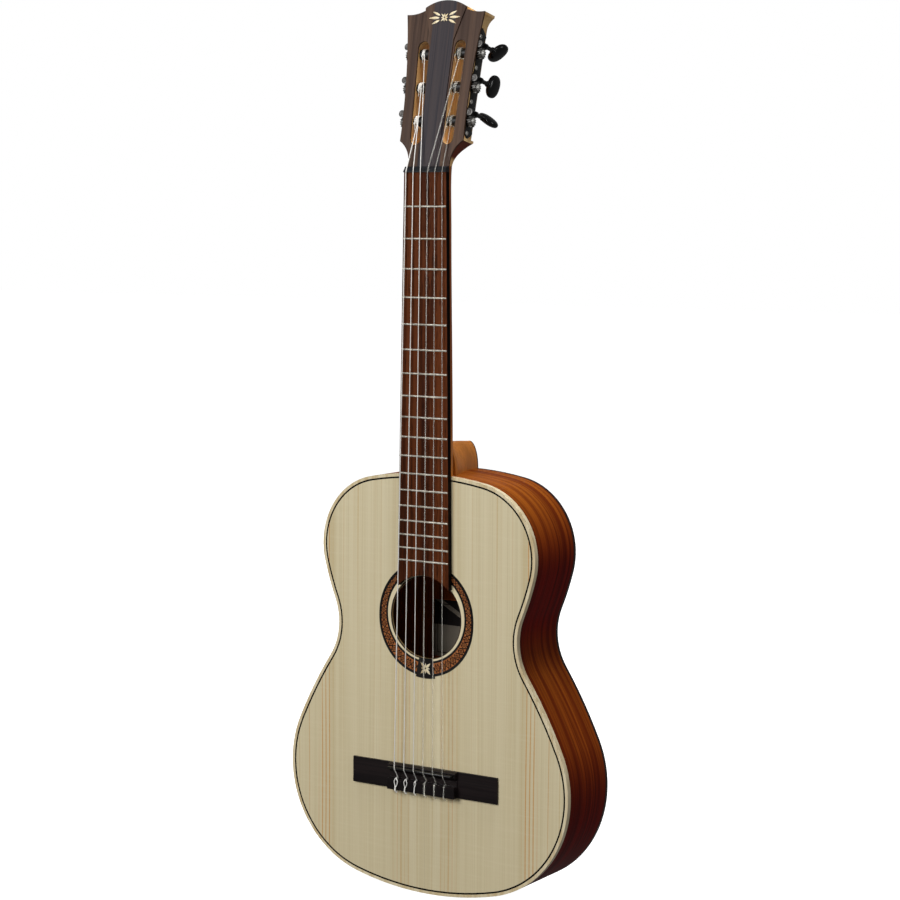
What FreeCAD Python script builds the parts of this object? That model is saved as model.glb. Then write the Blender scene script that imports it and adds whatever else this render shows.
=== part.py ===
import FreeCAD, Part
import math
import os

import Sketcher
from FreeCAD import Placement, Rotation, Vector

# A three-quarter size classical guitar, as its separate pieces.
#
# Row frame: +Z up along the neck, front facing -Y, X across (treble side +X), origin in the
# middle of the box at the tail end.  Pieces are drawn lying on their back: X across, Y along
# the neck from the tail, Z out of the soundboard, whose outer face is Z = 0.  STAND lifts that
# drawing upright.  Headstock pieces are drawn on the headplate's face and tilted by HEAD.

doc = FreeCAD.newDocument("Guitar")

# ---------------------------------------------------------------- driving sizes, millimetres
SIZES = {
    # stance
    "front_setback": 33.0,
    # body outline: radius of each arc of one half, and the height of its centre from the tail
    "tail_radius": 323.0, "lower_radius": 107.5, "lower_flank_radius": 470.0, "waist_radius": 61.5,
    "upper_flank_radius": 290.0, "upper_radius": 71.5, "shoulder_radius": 350.0,
    "lower_height": 114.4, "lower_flank_height": -35.0, "waist_height": 261.0,
    "upper_flank_height": 395.0, "upper_height": 339.5,
    # insets from the outline
    "edge_inset": 0.0, "side_inset": 2.2, "binding_inset": 3.0, "purfling_inset": 4.7,
    "lining_inset": 8.5,
    # depths behind the soundboard's outer face
    "face_depth": 0.0, "top_depth": 2.5, "binding_depth": 5.5, "lining_depth": 16.0,
    "back_lining_depth": 62.0, "back_binding_depth": 73.5, "back_inner_depth": 75.0,
    "body_depth": 77.5,
    # soundhole and rosette
    "hole_height": 274.9, "hole_radius": 40.3, "rosette_inner": 45.0, "rosette_outer": 54.9,
    "plaque_radius": 60.2, "plaque_angle": 21.6, "inlay_depth": 1.2,
    # strings
    "scale_length": 580.0, "nut_line": 705.7, "nut_spacing": 8.2, "saddle_spacing": 11.2,
    "string_nut_height": 7.1, "string_saddle_height": 11.5, "string_roller_gap": 0.12,
    "string_nut_gap": 0.03, "string_saddle_gap": 0.34, "string_groove_gap": 0.36,
    # fingerboard and frets
    "board_thickness": 5.66, "board_nut_half": 24.0, "board_end_half": 29.8,
    "board_end_line": 304.7, "board_end_radius": 42.2, "fret_radius": 1.0, "tang_width": 0.5,
    "tang_depth": 1.6, "fret_end_gap": 0.4,
    # nut
    "nut_thickness": 5.5, "nut_height": 7.3, "nut_back_height": 4.0, "nut_crown": 0.9,
    "nut_base": -1.2,
    # neck
    "neck_body_half": 28.2, "neck_nut_depth": 15.5, "neck_head_depth": 18.6,
    "heel_cap_thickness": 1.5,
    # headstock, measured on the headplate's face from the nut line
    "head_tilt": 11.25, "head_lift": 2.5, "head_thickness": 20.0, "plate_thickness": 3.0,
    "wing_drop": 1.2, "head_low_half": 24.0, "head_low_line": 3.0, "corner_half": 36.0,
    "corner_line": 31.0, "shoulder_half": 44.2, "shoulder_line": 155.8, "notch_half": 22.9,
    "notch_line": 159.4, "crown_line": 161.6, "flare_radius": 26.0, "head_side_radius": 670.0,
    "head_top_radius": 41.0, "crown_radius": 43.5,
    "slot_width": 12.6, "slot_low_line": 27.3, "slot_high_line": 128.9, "slot_low_half": 18.4,
    "slot_high_half": 20.9, "panel_margin": 1.6,
    # tuning machines
    "first_roller_line": 51.0, "roller_pitch": 33.0, "roller_depth": 9.0, "roller_radius": 4.9,
    "roller_length": 27.5, "post_radius": 2.5, "post_length": 7.4, "string_hole_radius": 0.9,
    "running_clearance": 0.05, "bore_clearance": 0.15, "seat_low_half": 33.0, "seat_low_line": 34.0,
    "seat_high_half": 37.0, "seat_high_line": 141.5, "seat_ramp_radius": 15.0,
    "metal_thickness": 1.2, "gear_module": 0.75, "gear_teeth": 14,
    "worm_pitch_radius": 2.6, "gear_width": 3.4, "gear_offset": 4.7,
    "tooth_addendum": 0.55, "tooth_dedendum": 0.8, "tooth_tip": 0.5, "tooth_base": 1.1,
    "worm_turns": 3, "journal_radius": 1.5, "journal_length": 3.4,
    "front_journal_length": 2.3, "stem_radius": 2.0,
    "stem_length": 14.0, "lug_radius": 3.0, "front_lug_length": 2.0,
    "rear_lug_length": 2.8, "lug_gap": 0.2, "plate_disc_radius": 7.5, "plate_drop": 2.0,
    "plate_strip_half": 4.0, "plate_low_overhang": 12.0, "plate_high_overhang": 18.0,
    "knob_half_width": 11.25, "knob_half_length": 9.2,
    "knob_half_thickness": 4.25, "knob_depth": 37.5, "collar_radius": 2.9,
    "collar_length": 3.5, "collar_lap": 1.5, "screw_head_radius": 2.2,
    "screw_head_height": 0.8, "screw_shank_radius": 1.2, "screw_length": 9.0,
    # bridge
    "bridge_half": 84.5, "bridge_low": 101.5, "bridge_high": 127.5, "block_half": 39.4,
    "wing_height": 2.4, "ledge_height": 3.6, "block_height": 7.0, "valley_height": 3.6,
    "tie_height": 8.6, "valley_low": 113.0, "valley_high": 118.5, "saddle_back": 121.6,
    "saddle_line": 123.6, "saddle_thickness": 2.2, "saddle_half": 37.0, "ledge_line": 126.0,
    "tie_hole_height": 5.2, "tie_hole_radius": 0.8,
    # wood inside
    "block_width": 64.0, "neck_block_length": 34.0, "tail_block_length": 16.0,
    "bar_width": 6.0, "bar_height": 14.0, "back_brace_width": 9.0,
    "upper_bar_line": 324.0, "upper_bar_half": 110.0,
    "lower_bar_line": 224.0, "lower_bar_half": 92.0, "fan_width": 5.0, "fan_height": 5.5,
    "fan_low_line": 52.0, "fan_length": 150.0, "fan_spacing": 26.0, "fan_splay": 3.5,
    "patch_length": 30.0, "patch_thickness": 2.0,
    "patch_half": 92.0, "label_width": 78.0, "label_length": 58.0, "label_thickness": 0.3,
    "label_line": 222.0,
}
STRINGS = {"string_e_low": 1.10, "string_a": 0.90, "string_d": 0.75,
           "string_g": 1.02, "string_b": 0.82, "string_e_high": 0.71}
STRING_BENDS = (6.0, 2.4, 1.6)
FRETS = 18
# sections of the neck: line, and how much deeper it is there than at the nut
NECK_SECTIONS = ((395.0, 3.0), (480.0, 2.4), (560.0, 1.5), (640.0, 0.6), (680.0, 0.6), (700.0, 1.4))
# level sections of the heel: depth behind the soundboard, half width, reach up the neck
HEEL_SECTIONS = ((10.0, 27.0, 44.0), (17.0, 26.0, 36.0), (23.0, 23.5, 30.5), (32.0, 20.0, 28.6),
                 (46.0, 16.0, 28.4), (62.0, 12.6, 27.6), (76.0, 10.5, 26.6))
# sections of the throat between neck and head: line past the nut, extra half width, depth
THROAT_SECTIONS = ((0.0, 0.2, 18.6), (5.0, 1.6, 20.6), (12.0, 6.5, 26.5), (19.0, 16.0, 34.0),
                   (25.0, 30.0, 45.0))
# braces across the back: line of the lower edge, and half length
BACK_BRACES = ((78.0, 138.0), (186.0, 106.0), (318.0, 108.0))
# where the plate screws stand, in roller pitches from the first roller
SCREW_STEPS = (-0.42, 0.5, 1.5, 2.42)
SCREW_SHIFT = 1.5
# a reach that clears every piece, for cutting tools
CLEAR = 200.0
# how the flat of each knob is turned about its shaft, degrees from across the head
KNOB_TURNS = {"treble": (-30.0, 80.0, 42.0), "bass": (15.0, -55.0, 68.0)}

sheet = doc.addObject("Spreadsheet::Sheet", "Sizes")
for row, (name, number) in enumerate(SIZES.items(), start=1):
    sheet.set("A%d" % row, name)
    sheet.set("B%d" % row, str(number))
    sheet.setAlias("B%d" % row, name)


def size(name):
    """The number behind an alias; a leading minus turns it round."""
    return -SIZES[name[1:]] if name.startswith("-") else SIZES[name]


def bound(text):
    """An alias, or an expression of aliases, as the sheet is addressed."""
    if "Sizes." in text:
        return text
    return "-Sizes." + text[1:] if text.startswith("-") else "Sizes." + text


def add_derived(name, number):
    """Keep a worked-out size in the sheet beside the driving ones."""
    if name in SIZES:
        return
    cell = len(SIZES) + 1
    SIZES[name] = number
    sheet.set("A%d" % cell, name)
    sheet.set("B%d" % cell, str(number))
    sheet.setAlias("B%d" % cell, name)


# ---------------------------------------------------------------- body outline
ARC_RADII = ("tail_radius", "lower_radius", "lower_flank_radius", "waist_radius",
             "upper_flank_radius", "upper_radius", "shoulder_radius")
ARC_HEIGHTS = ("lower_height", "lower_flank_height", "waist_height", "upper_flank_height",
               "upper_height")
WAIST = 3


def arc_centres():
    """Centres of the seven arcs of the treble half, from the tail up, each tangent to the last."""
    radii = [size(name) for name in ARC_RADII]
    centres = [Vector(0, radii[0], 0)]
    for i, name in enumerate(ARC_HEIGHTS, start=1):
        gap = radii[i - 1] + radii[i] if WAIST in (i - 1, i) else abs(radii[i - 1] - radii[i])
        rise = size(name) - centres[-1].y
        outward = 1 if i in (1, 3, 5) else -1
        across = math.sqrt(gap ** 2 - rise ** 2)
        centres.append(Vector(centres[-1].x + outward * across, size(name), 0))
    gap = radii[6] - radii[5]
    drop = math.sqrt(gap ** 2 - centres[-1].x ** 2)
    centres.append(Vector(0, centres[-1].y - drop, 0))
    return centres


CENTRES = arc_centres()
add_derived("shoulder_height", CENTRES[6].y)
add_derived("body_length", CENTRES[6].y + size("shoulder_radius"))


def outline_geometry(inset):
    """The twelve arcs of the closed outline, drawn in by the inset, anticlockwise from the tail."""
    radii = [size(name) + (inset if i == WAIST else -inset) for i, name in enumerate(ARC_RADII)]
    joints = []
    for i in range(6):
        towards = CENTRES[i + 1] - CENTRES[i]
        if WAIST not in (i, i + 1) and radii[i] < radii[i + 1]:
            towards = towards * -1
        joints.append(CENTRES[i] + towards.normalize() * radii[i])

    def arc(centre, radius, first, last):
        angles = [math.atan2(p.y - centre.y, p.x - centre.x) for p in (first, last)]
        return Part.ArcOfCircle(Part.Circle(centre, Vector(0, 0, 1), radius), *angles)

    def left(point):
        return Vector(-point.x, point.y, 0)

    arcs = [arc(CENTRES[0], radii[0], left(joints[0]), joints[0])]
    for i in range(1, 6):
        ends = (joints[i - 1], joints[i])
        arcs.append(arc(CENTRES[i], radii[i], *(ends[::-1] if i == WAIST else ends)))
    arcs.append(arc(CENTRES[6], radii[6], joints[5], left(joints[5])))
    for i in range(5, 0, -1):
        ends = (left(joints[i]), left(joints[i - 1]))
        arcs.append(arc(left(CENTRES[i]), radii[i], *(ends[::-1] if i == WAIST else ends)))
    return arcs


def add_outline(sketch, inset):
    """Draw and fix one outline loop: tangent arcs, radii and centre heights from the sheet."""
    first = sketch.GeometryCount
    sketch.addGeometry(outline_geometry(size(inset)), False)
    rules = []
    for i in range(12):
        after = (i + 1) % 12
        leave = 1 if i in (WAIST, 12 - WAIST) else 2
        enter = 2 if after in (WAIST, 12 - WAIST) else 1
        rules.append(Sketcher.Constraint("Tangent", first + i, leave, first + after, enter))
    rules.append(Sketcher.Constraint("PointOnObject", first, 3, -2))
    rules.append(Sketcher.Constraint("PointOnObject", first + 6, 3, -2))
    sketch.addConstraint(rules)
    for i in range(12):
        arc_number = min(i, 12 - i)
        sign = "+" if arc_number == WAIST else "-"
        radius = size(ARC_RADII[arc_number]) + (1 if sign == "+" else -1) * size(inset)
        rule = sketch.addConstraint(Sketcher.Constraint("Radius", first + i, radius))
        formula = "Sizes.%s %s Sizes.%s" % (ARC_RADII[arc_number], sign, inset)
        sketch.setExpression("Constraints[%d]" % rule, formula)
    heights = {0: "tail_radius"}
    heights.update({i: ARC_HEIGHTS[i - 1] for i in range(1, 6)})
    heights.update({12 - i: ARC_HEIGHTS[i - 1] for i in range(2, 6)})
    for i, name in heights.items():
        rule = sketch.addConstraint(
            Sketcher.Constraint("DistanceY", -1, 1, first + i, 3, size(name)))
        sketch.setExpression("Constraints[%d]" % rule, bound(name))


# ---------------------------------------------------------------- helpers
STAND = Placement(Vector(0, -size("front_setback"), 0), Rotation(Vector(1, 0, 0), 90))
HEAD = STAND * Placement(Vector(0, size("nut_line"), size("head_lift")),
                         Rotation(Vector(1, 0, 0), -size("head_tilt")))
NODES = []


def node(item, label):
    """Name a finished sub-part and list it for writing."""
    item.Label = label
    NODES.append(item)
    return item


def at(x, y, z, frame=STAND):
    return frame * Placement(Vector(x, y, z), Rotation())


def primitive(kind, place, **sizes):
    """A Part primitive whose sizes are aliases, expressions of them, or fixed numbers."""
    item = doc.addObject("Part::" + kind, kind)
    for prop, value in sizes.items():
        if isinstance(value, str):
            item.setExpression(prop, bound(value))
        else:
            setattr(item, prop, value)
    item.Placement = place
    return item


def cylinder(place, axis, radius, height, angle=360.0):
    """A cylinder from a point of the frame along an axis."""
    turned = place * Placement(Vector(), Rotation(Vector(0, 0, 1), axis))
    return primitive("Cylinder", turned, Radius=radius, Height=height, Angle=angle)


def cut(base, *tools):
    item = doc.addObject("Part::Cut", "Cut")
    item.Base = base
    item.Tool = tools[0] if len(tools) == 1 else fuse(*tools)
    return item


def fuse(*parts):
    item = doc.addObject("Part::MultiFuse", "Fusion")
    item.Shapes = list(parts)
    return item


def common(first, second):
    item = doc.addObject("Part::MultiCommon", "Common")
    item.Shapes = [first, second]
    return item


def group(parts):
    """Separate solids kept together in one sub-part."""
    item = doc.addObject("Part::Compound", "Group")
    item.Links = list(parts)
    return item


def new_body(place):
    body = doc.addObject("PartDesign::Body", "Body")
    body.Placement = place
    return body


def new_sketch(body, role="XY_Plane", offset=None):
    """A sketch on one of the body's own planes, set off along its normal."""
    sketch = body.newObject("Sketcher::SketchObject", "Sketch")
    plane = [item for item in body.Origin.OriginFeatures if item.Role == role][0]
    sketch.AttachmentSupport = [(plane, "")]
    sketch.MapMode = "FlatFace"
    if offset is not None:
        sketch.setExpression("AttachmentOffset.Base.z", bound(offset))
    return sketch


def add_profile(sketch, corners, radii=None):
    """A closed loop, anticlockwise through corners given as pairs of aliases.

    radii holds, for an edge's number, the alias of its arc's radius; with a minus it is hollow."""
    radii = radii or {}
    first = sketch.GeometryCount
    points = [Vector(size(x), size(y), 0) for x, y in corners]
    ends = []
    for i, start in enumerate(points):
        stop = points[(i + 1) % len(points)]
        if i not in radii:
            sketch.addGeometry(Part.LineSegment(start, stop), False)
            ends.append((1, 2))
            continue
        radius = abs(size(radii[i]))
        hollow = radii[i].startswith("-")
        along = stop - start
        inward = Vector(-along.y, along.x, 0).normalize() * (-1 if hollow else 1)
        middle = (start + stop) * 0.5
        centre = middle + inward * math.sqrt(radius ** 2 - (along.Length / 2) ** 2)
        order = (stop, start) if hollow else (start, stop)
        angles = [math.atan2(p.y - centre.y, p.x - centre.x) for p in order]
        sketch.addGeometry(Part.ArcOfCircle(Part.Circle(centre, Vector(0, 0, 1), radius), *angles),
                           False)
        ends.append((2, 1) if hollow else (1, 2))
    for i in range(len(points)):
        after = (i + 1) % len(points)
        sketch.addConstraint(Sketcher.Constraint("Coincident", first + i, ends[i][1],
                                                 first + after, ends[after][0]))
    for i, (x, y) in enumerate(corners):
        for kind, name in (("DistanceX", x), ("DistanceY", y)):
            rule = sketch.addConstraint(
                Sketcher.Constraint(kind, -1, 1, first + i, ends[i][0], size(name)))
            sketch.setExpression("Constraints[%d]" % rule, bound(name))
    for i, name in radii.items():
        rule = sketch.addConstraint(Sketcher.Constraint("Radius", first + i, abs(size(name))))
        sketch.setExpression("Constraints[%d]" % rule, bound(name.lstrip("-")))


def add_circle(sketch, x, y, radius):
    """A full circle placed and sized from the sheet."""
    spot = sketch.addGeometry(
        Part.Circle(Vector(size(x), size(y), 0), Vector(0, 0, 1), size(radius)), False)
    for kind, name in (("DistanceX", x), ("DistanceY", y)):
        rule = sketch.addConstraint(Sketcher.Constraint(kind, -1, 1, spot, 3, size(name)))
        sketch.setExpression("Constraints[%d]" % rule, bound(name))
    rule = sketch.addConstraint(Sketcher.Constraint("Radius", spot, size(radius)))
    sketch.setExpression("Constraints[%d]" % rule, bound(radius))


def feature(body, kind, sketch, length, reverse=False, midplane=False):
    """A pad or pocket of one sketch."""
    item = body.newObject("PartDesign::" + kind, kind)
    item.Profile = sketch
    item.setExpression("Length", bound(length))
    item.Reversed = reverse
    if midplane:
        item.SideType = "Symmetric"
    sketch.Visibility = False
    return item


def slab(body, upper, lower, outer, inner=None):
    """A plate of the body's outline, or a ring between two insets, between two depths."""
    sketch = new_sketch(body, offset="-" + upper)
    add_outline(sketch, outer)
    if inner:
        add_outline(sketch, inner)
    return feature(body, "Pad", sketch, "Sizes.%s - Sizes.%s" % (lower, upper), reverse=True)


# ---------------------------------------------------------------- sound box
def ring_sector(inner, outer, start, sweep):
    """A flat inlay between two radii about the soundhole's centre, let in from the face."""
    place = STAND * Placement(Vector(0, size("hole_height"), -size("inlay_depth")),
                              Rotation(Vector(0, 0, 1), start))
    disc = primitive("Cylinder", place, Radius=outer, Height="inlay_depth", Angle=sweep)
    core = primitive("Cylinder", place, Radius=inner, Height="inlay_depth")
    return cut(disc, core)


def make_soundboard():
    half_plaque = size("plaque_angle") / 2
    rosette = node(ring_sector("rosette_inner", "rosette_outer", -90 + half_plaque,
                               "360 - Sizes.plaque_angle"), "rosette")
    plaque = node(ring_sector("hole_radius", "plaque_radius", -90 - half_plaque,
                              "plaque_angle"), "rosette_plaque")
    body = new_body(STAND)
    slab(body, "face_depth", "top_depth", "purfling_inset")
    sketch = new_sketch(body)
    add_circle(sketch, "edge_inset", "hole_height", "hole_radius")
    feature(body, "Pocket", sketch, "top_depth")
    node(cut(body, rosette, plaque), "soundboard")


def make_rim():
    """Bindings, purfling, back, the two bent sides and the linings behind their seams."""
    for label, upper, lower, outer, inner in (
            ("top_binding", "face_depth", "binding_depth", "edge_inset", "binding_inset"),
            ("top_purfling", "face_depth", "top_depth", "binding_inset", "purfling_inset"),
            ("back_binding", "back_binding_depth", "body_depth", "edge_inset", "side_inset"),
            ("back", "back_inner_depth", "body_depth", "side_inset", None)):
        body = new_body(STAND)
        slab(body, upper, lower, outer, inner)
        node(body, label)
    rim = new_body(STAND)
    slab(rim, "binding_depth", "back_binding_depth", "edge_inset", "side_inset")
    half = primitive("Box", at(-200, -20, -100), Length=200.0, Width=460.0, Height=120.0)
    node(common(rim, half), "side_bass")
    node(cut(rim, half), "side_treble")


def end_block(line, length, label):
    """A block of wood that fills the end of the box between soundboard and back."""
    blank = primitive("Box", at(-size("block_width") / 2, line, -size("back_inner_depth")),
                      Length="block_width", Width=length,
                      Height="Sizes.back_inner_depth - Sizes.top_depth")
    inside = new_body(STAND)
    slab(inside, "top_depth", "back_inner_depth", "side_inset")
    binding = new_body(STAND)
    slab(binding, "top_depth", "binding_depth", "edge_inset", "binding_inset")
    return node(cut(common(blank, inside), binding), label)


def make_inside():
    neck_line = size("body_length") - size("neck_block_length")
    blocks = [end_block(neck_line, "neck_block_length", "neck_block"),
              end_block(0, "tail_block_length", "tail_block")]
    top = new_body(STAND)
    slab(top, "binding_depth", "lining_depth", "side_inset", "lining_inset")
    slab(top, "top_depth", "binding_depth", "binding_inset", "lining_inset")
    node(cut(top, *blocks), "top_lining")
    low = new_body(STAND)
    slab(low, "back_lining_depth", "back_inner_depth", "side_inset", "lining_inset")
    node(cut(low, *blocks), "back_lining")

    under = -size("top_depth") - size("bar_height")
    bars = [primitive("Box", at(-size(half), size(line) - size("bar_width") / 2, under),
                      Length="2 * Sizes." + half, Width="bar_width", Height="bar_height")
            for line, half in (("upper_bar_line", "upper_bar_half"),
                               ("lower_bar_line", "lower_bar_half"))]
    node(group(bars), "harmonic_bars")

    patch_line = (size("bridge_low") + size("bridge_high") - size("patch_length")) / 2
    patch = primitive("Box", at(-size("patch_half"), patch_line,
                                -size("top_depth") - size("patch_thickness")),
                      Length="2 * Sizes.patch_half", Width="patch_length",
                      Height="patch_thickness")
    node(patch, "bridge_patch")
    struts = []
    for step in (-2, -1, 0, 1, 2):
        place = STAND * Placement(Vector(size("fan_spacing") * step, size("fan_low_line"), 0),
                                  Rotation(Vector(0, 0, 1), size("fan_splay") * step))
        struts.append(primitive("Box", place * Placement(
            Vector(-size("fan_width") / 2, 0, -size("top_depth") - size("fan_height")), Rotation()),
            Length="fan_width", Width="fan_length", Height="fan_height"))
    node(group([cut(strut, patch) for strut in struts]), "fan_braces")

    label_floor = -size("back_inner_depth")
    node(group([primitive("Box", at(-half, line, label_floor), Length=2 * half,
                          Width="back_brace_width", Height="bar_height")
                for line, half in BACK_BRACES]), "back_braces")
    node(primitive("Box", at(-size("label_width") / 2, size("label_line"), label_floor),
                   Length="label_width", Width="label_length", Height="label_thickness"), "label")


# ---------------------------------------------------------------- neck
def ellipse_across(line, half_width, depth):
    """A section of the neck at a line, widest at the fingerboard's glue face."""
    place = STAND * Placement(Vector(0, line, 0), Rotation(Vector(1, 0, 0), 90))
    return primitive("Ellipse", place, MajorRadius=half_width, MinorRadius=depth)


def loft(sections):
    item = doc.addObject("Part::Loft", "Loft")
    item.Sections = sections
    item.Solid = True
    return item


def neck_half_width(line):
    """Half the neck's width: straight from the nut to the body."""
    span = size("nut_line") - size("body_length")
    share = (size("nut_line") - line) / span
    return size("board_nut_half") + share * (size("neck_body_half") - size("board_nut_half"))


def make_neck(nut_blank):
    """The shaft lofted from the body to the nut, with its heel down the end of the box."""
    sections = [ellipse_across(line, neck_half_width(line), size("neck_nut_depth") + deeper)
                for line, deeper in NECK_SECTIONS]
    sections.append(ellipse_across(size("nut_back_line"), size("board_nut_half") + 0.2,
                                   size("neck_head_depth")))
    shaft = loft(sections)
    heel_sections = [primitive("Ellipse", STAND * Placement(
        Vector(0, size("body_length"), -depth), Rotation(Vector(0, 0, 1), 90)),
        MajorRadius=reach, MinorRadius=half_width)
        for depth, half_width, reach in HEEL_SECTIONS]
    heel = loft(heel_sections)
    cap = doc.addObject("Part::Extrusion", "Cap")
    cap.Base = heel_sections[-1]
    cap.DirMode = "Custom"
    cap.Dir = Vector(0, 1, 0)
    cap.setExpression("LengthFwd", bound("heel_cap_thickness"))
    cap.Solid = True

    above = primitive("Box", at(-CLEAR, 0, 0), Length=2 * CLEAR, Width=5 * CLEAR, Height=CLEAR)
    box_end = cylinder(at(0, size("shoulder_height"), -CLEAR), Vector(0, 0, 1),
                       "shoulder_radius", 2 * CLEAR)
    node(cut(fuse(shaft, heel), above, box_end, nut_blank), "neck")
    node(cut(cap, box_end), "heel_cap")


def make_fingerboard():
    body = new_body(STAND)
    sketch = new_sketch(body)
    add_profile(sketch, (("board_nut_half", "nut_line"), ("-board_nut_half", "nut_line"),
                         ("-board_end_half", "board_end_line"),
                         ("board_end_half", "board_end_line")), {2: "-board_end_radius"})
    feature(body, "Pad", sketch, "board_thickness")
    slope = ((size("board_end_half") - size("board_nut_half"))
             / (size("nut_line") - size("board_end_line")))
    frets, tangs = [], []
    for number in range(1, FRETS + 1):
        line = size("nut_line") - size("scale_length") * (1 - 2 ** (-number / 12))
        half = size("board_nut_half") + slope * (size("nut_line") - line) - size("fret_end_gap")
        start = at(-half, line, size("board_thickness"))
        crown = primitive("Cylinder", start * Placement(Vector(), Rotation(
            Vector(0, 1, 0), Vector(0, 0, 1), Vector(1, 0, 0), "ZXY")), Radius="fret_radius",
            Height=2 * half, Angle=180.0)
        tang = primitive("Box", start * Placement(
            Vector(0, -size("tang_width") / 2, -size("tang_depth")), Rotation()),
            Length=2 * half, Width="tang_width", Height="tang_depth")
        frets.append(fuse(crown, tang))
        tangs.append(tang)
    node(cut(body, *tangs), "fingerboard")
    node(group(frets), "frets")


def string_offsets(spacing):
    """Where the six strings stand across the guitar, bass to treble."""
    return [size(spacing) * (number - 2.5) for number in range(6)]


def make_nut():
    body = new_body(STAND)
    add_derived("nut_back_line", size("nut_line") + size("nut_thickness"))
    add_derived("nut_crown_line", size("nut_line") + size("nut_crown"))
    add_derived("zero", 0.0)
    sketch = new_sketch(body, "YZ_Plane")
    add_profile(sketch, (("nut_line", "nut_base"), ("nut_back_line", "nut_base"),
                         ("nut_back_line", "nut_back_height"), ("nut_crown_line", "nut_height"),
                         ("nut_line", "nut_height")))
    feature(body, "Pad", sketch, "2 * Sizes.board_nut_half", midplane=True)
    grooves = []
    for x, width in zip(string_offsets("nut_spacing"), STRINGS.values()):
        groove = at(x, size("nut_line") - 1, size("string_nut_height") + width / 2 + 0.2)
        grooves.append(cylinder(groove, Vector(0, 1, 0), width / 2 + size("string_groove_gap"),
                                "nut_thickness"))
    node(cut(body, *grooves), "nut")
    return body


def make_bridge():
    body = new_body(STAND)
    sketch = new_sketch(body, "YZ_Plane")
    add_profile(sketch, (
        ("bridge_low", "zero"), ("bridge_high", "zero"), ("bridge_high", "ledge_height"),
        ("ledge_line", "block_height"), ("saddle_back", "block_height"),
        ("valley_high", "valley_height"), ("valley_low", "valley_height"),
        ("valley_low", "tie_height"), ("bridge_low", "tie_height")))
    feature(body, "Pad", sketch, "2 * Sizes.block_half", midplane=True)
    wings = new_sketch(body)
    add_profile(wings, (("-bridge_half", "bridge_low"), ("bridge_half", "bridge_low"),
                        ("bridge_half", "bridge_high"), ("-bridge_half", "bridge_high")))
    feature(body, "Pad", wings, "wing_height")

    low = size("wing_height")
    back = size("saddle_line") - size("saddle_thickness") / 2
    blade_height = size("string_saddle_height") - low - size("saddle_thickness") / 2
    blade = primitive("Box", at(-size("saddle_half"), back, low), Length="2 * Sizes.saddle_half",
                      Width="saddle_thickness", Height=blade_height)
    crest = cylinder(at(-size("saddle_half"), size("saddle_line"), low + blade_height),
                     Vector(1, 0, 0), "Sizes.saddle_thickness / 2", "2 * Sizes.saddle_half")
    saddle = node(fuse(blade, crest), "saddle")
    holes = []
    for x in string_offsets("saddle_spacing"):
        start = at(x, size("bridge_low") - 1, size("tie_hole_height"))
        holes.append(cylinder(start, Vector(0, 1, 0), "tie_hole_radius", 14.0))
    node(cut(body, saddle, *holes), "bridge")


# ---------------------------------------------------------------- headstock
HEAD_EDGES = {1: "flare_radius", 2: "head_side_radius", 3: "head_top_radius"}


def head_sketch(body, offset):
    """The headstock's outline: flare, hollow sides, notched top and rounded crown."""
    sketch = new_sketch(body, offset=offset)
    right = (("head_low_half", "head_low_line"), ("corner_half", "corner_line"),
             ("shoulder_half", "shoulder_line"), ("notch_half", "notch_line"),
             ("notch_half", "crown_line"))
    left = tuple(("-" + x, y) for x, y in reversed(right))
    radii = {0: "-flare_radius", 1: "-head_side_radius", 2: "-head_top_radius", 4: "crown_radius",
             6: "-head_top_radius", 7: "-head_side_radius", 8: "-flare_radius"}
    add_profile(sketch, right + left, radii)
    return sketch


def slot_tool(side):
    """The space of one string slot: a straight run with a round at each end."""
    low = Vector(side * size("slot_low_half"), size("slot_low_line") + size("slot_width") / 2, -60)
    high = Vector(side * size("slot_high_half"),
                  size("slot_high_line") - size("slot_width") / 2, -60)
    run = high - low
    lean = math.degrees(math.atan2(-run.x, run.y))
    ends = [primitive("Cylinder", HEAD * Placement(end, Rotation()),
                      Radius="Sizes.slot_width / 2", Height=100.0) for end in (low, high)]
    middle = primitive("Box", HEAD * Placement(low, Rotation(Vector(0, 0, 1), lean)) * Placement(
        Vector(-size("slot_width") / 2, 0, 0), Rotation()),
        Length="slot_width", Width=run.Length, Height=100.0)
    return fuse(middle, *ends)


def seat_frame(side, line):
    """Frame of one machine: on the plate's seat at a line, X across, Z out of the face."""
    rise = size("seat_high_line") - size("seat_low_line")
    lean = math.atan2(size("seat_high_half") - size("seat_low_half"), rise)
    half = size("seat_low_half") + (line - size("seat_low_line")) * math.tan(lean)
    return HEAD * Placement(Vector(side * half, line, -size("roller_depth")),
                            Rotation(Vector(0, 0, 1), math.degrees(-side * lean)))


SIDES = (("bass", -1), ("treble", 1))
MACHINE_LINES = [size("first_roller_line") + k * size("roller_pitch") for k in range(3)]
WORM_REACH = size("gear_module") * size("gear_teeth") / 2 + size("worm_pitch_radius")
THREAD_PITCH = math.pi * size("gear_module")


def outward(place, side):
    """Turn a frame so that its Z points out of that side of the head."""
    return place * Placement(Vector(), Rotation(Vector(0, 1, 0), 90 * side))


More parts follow.
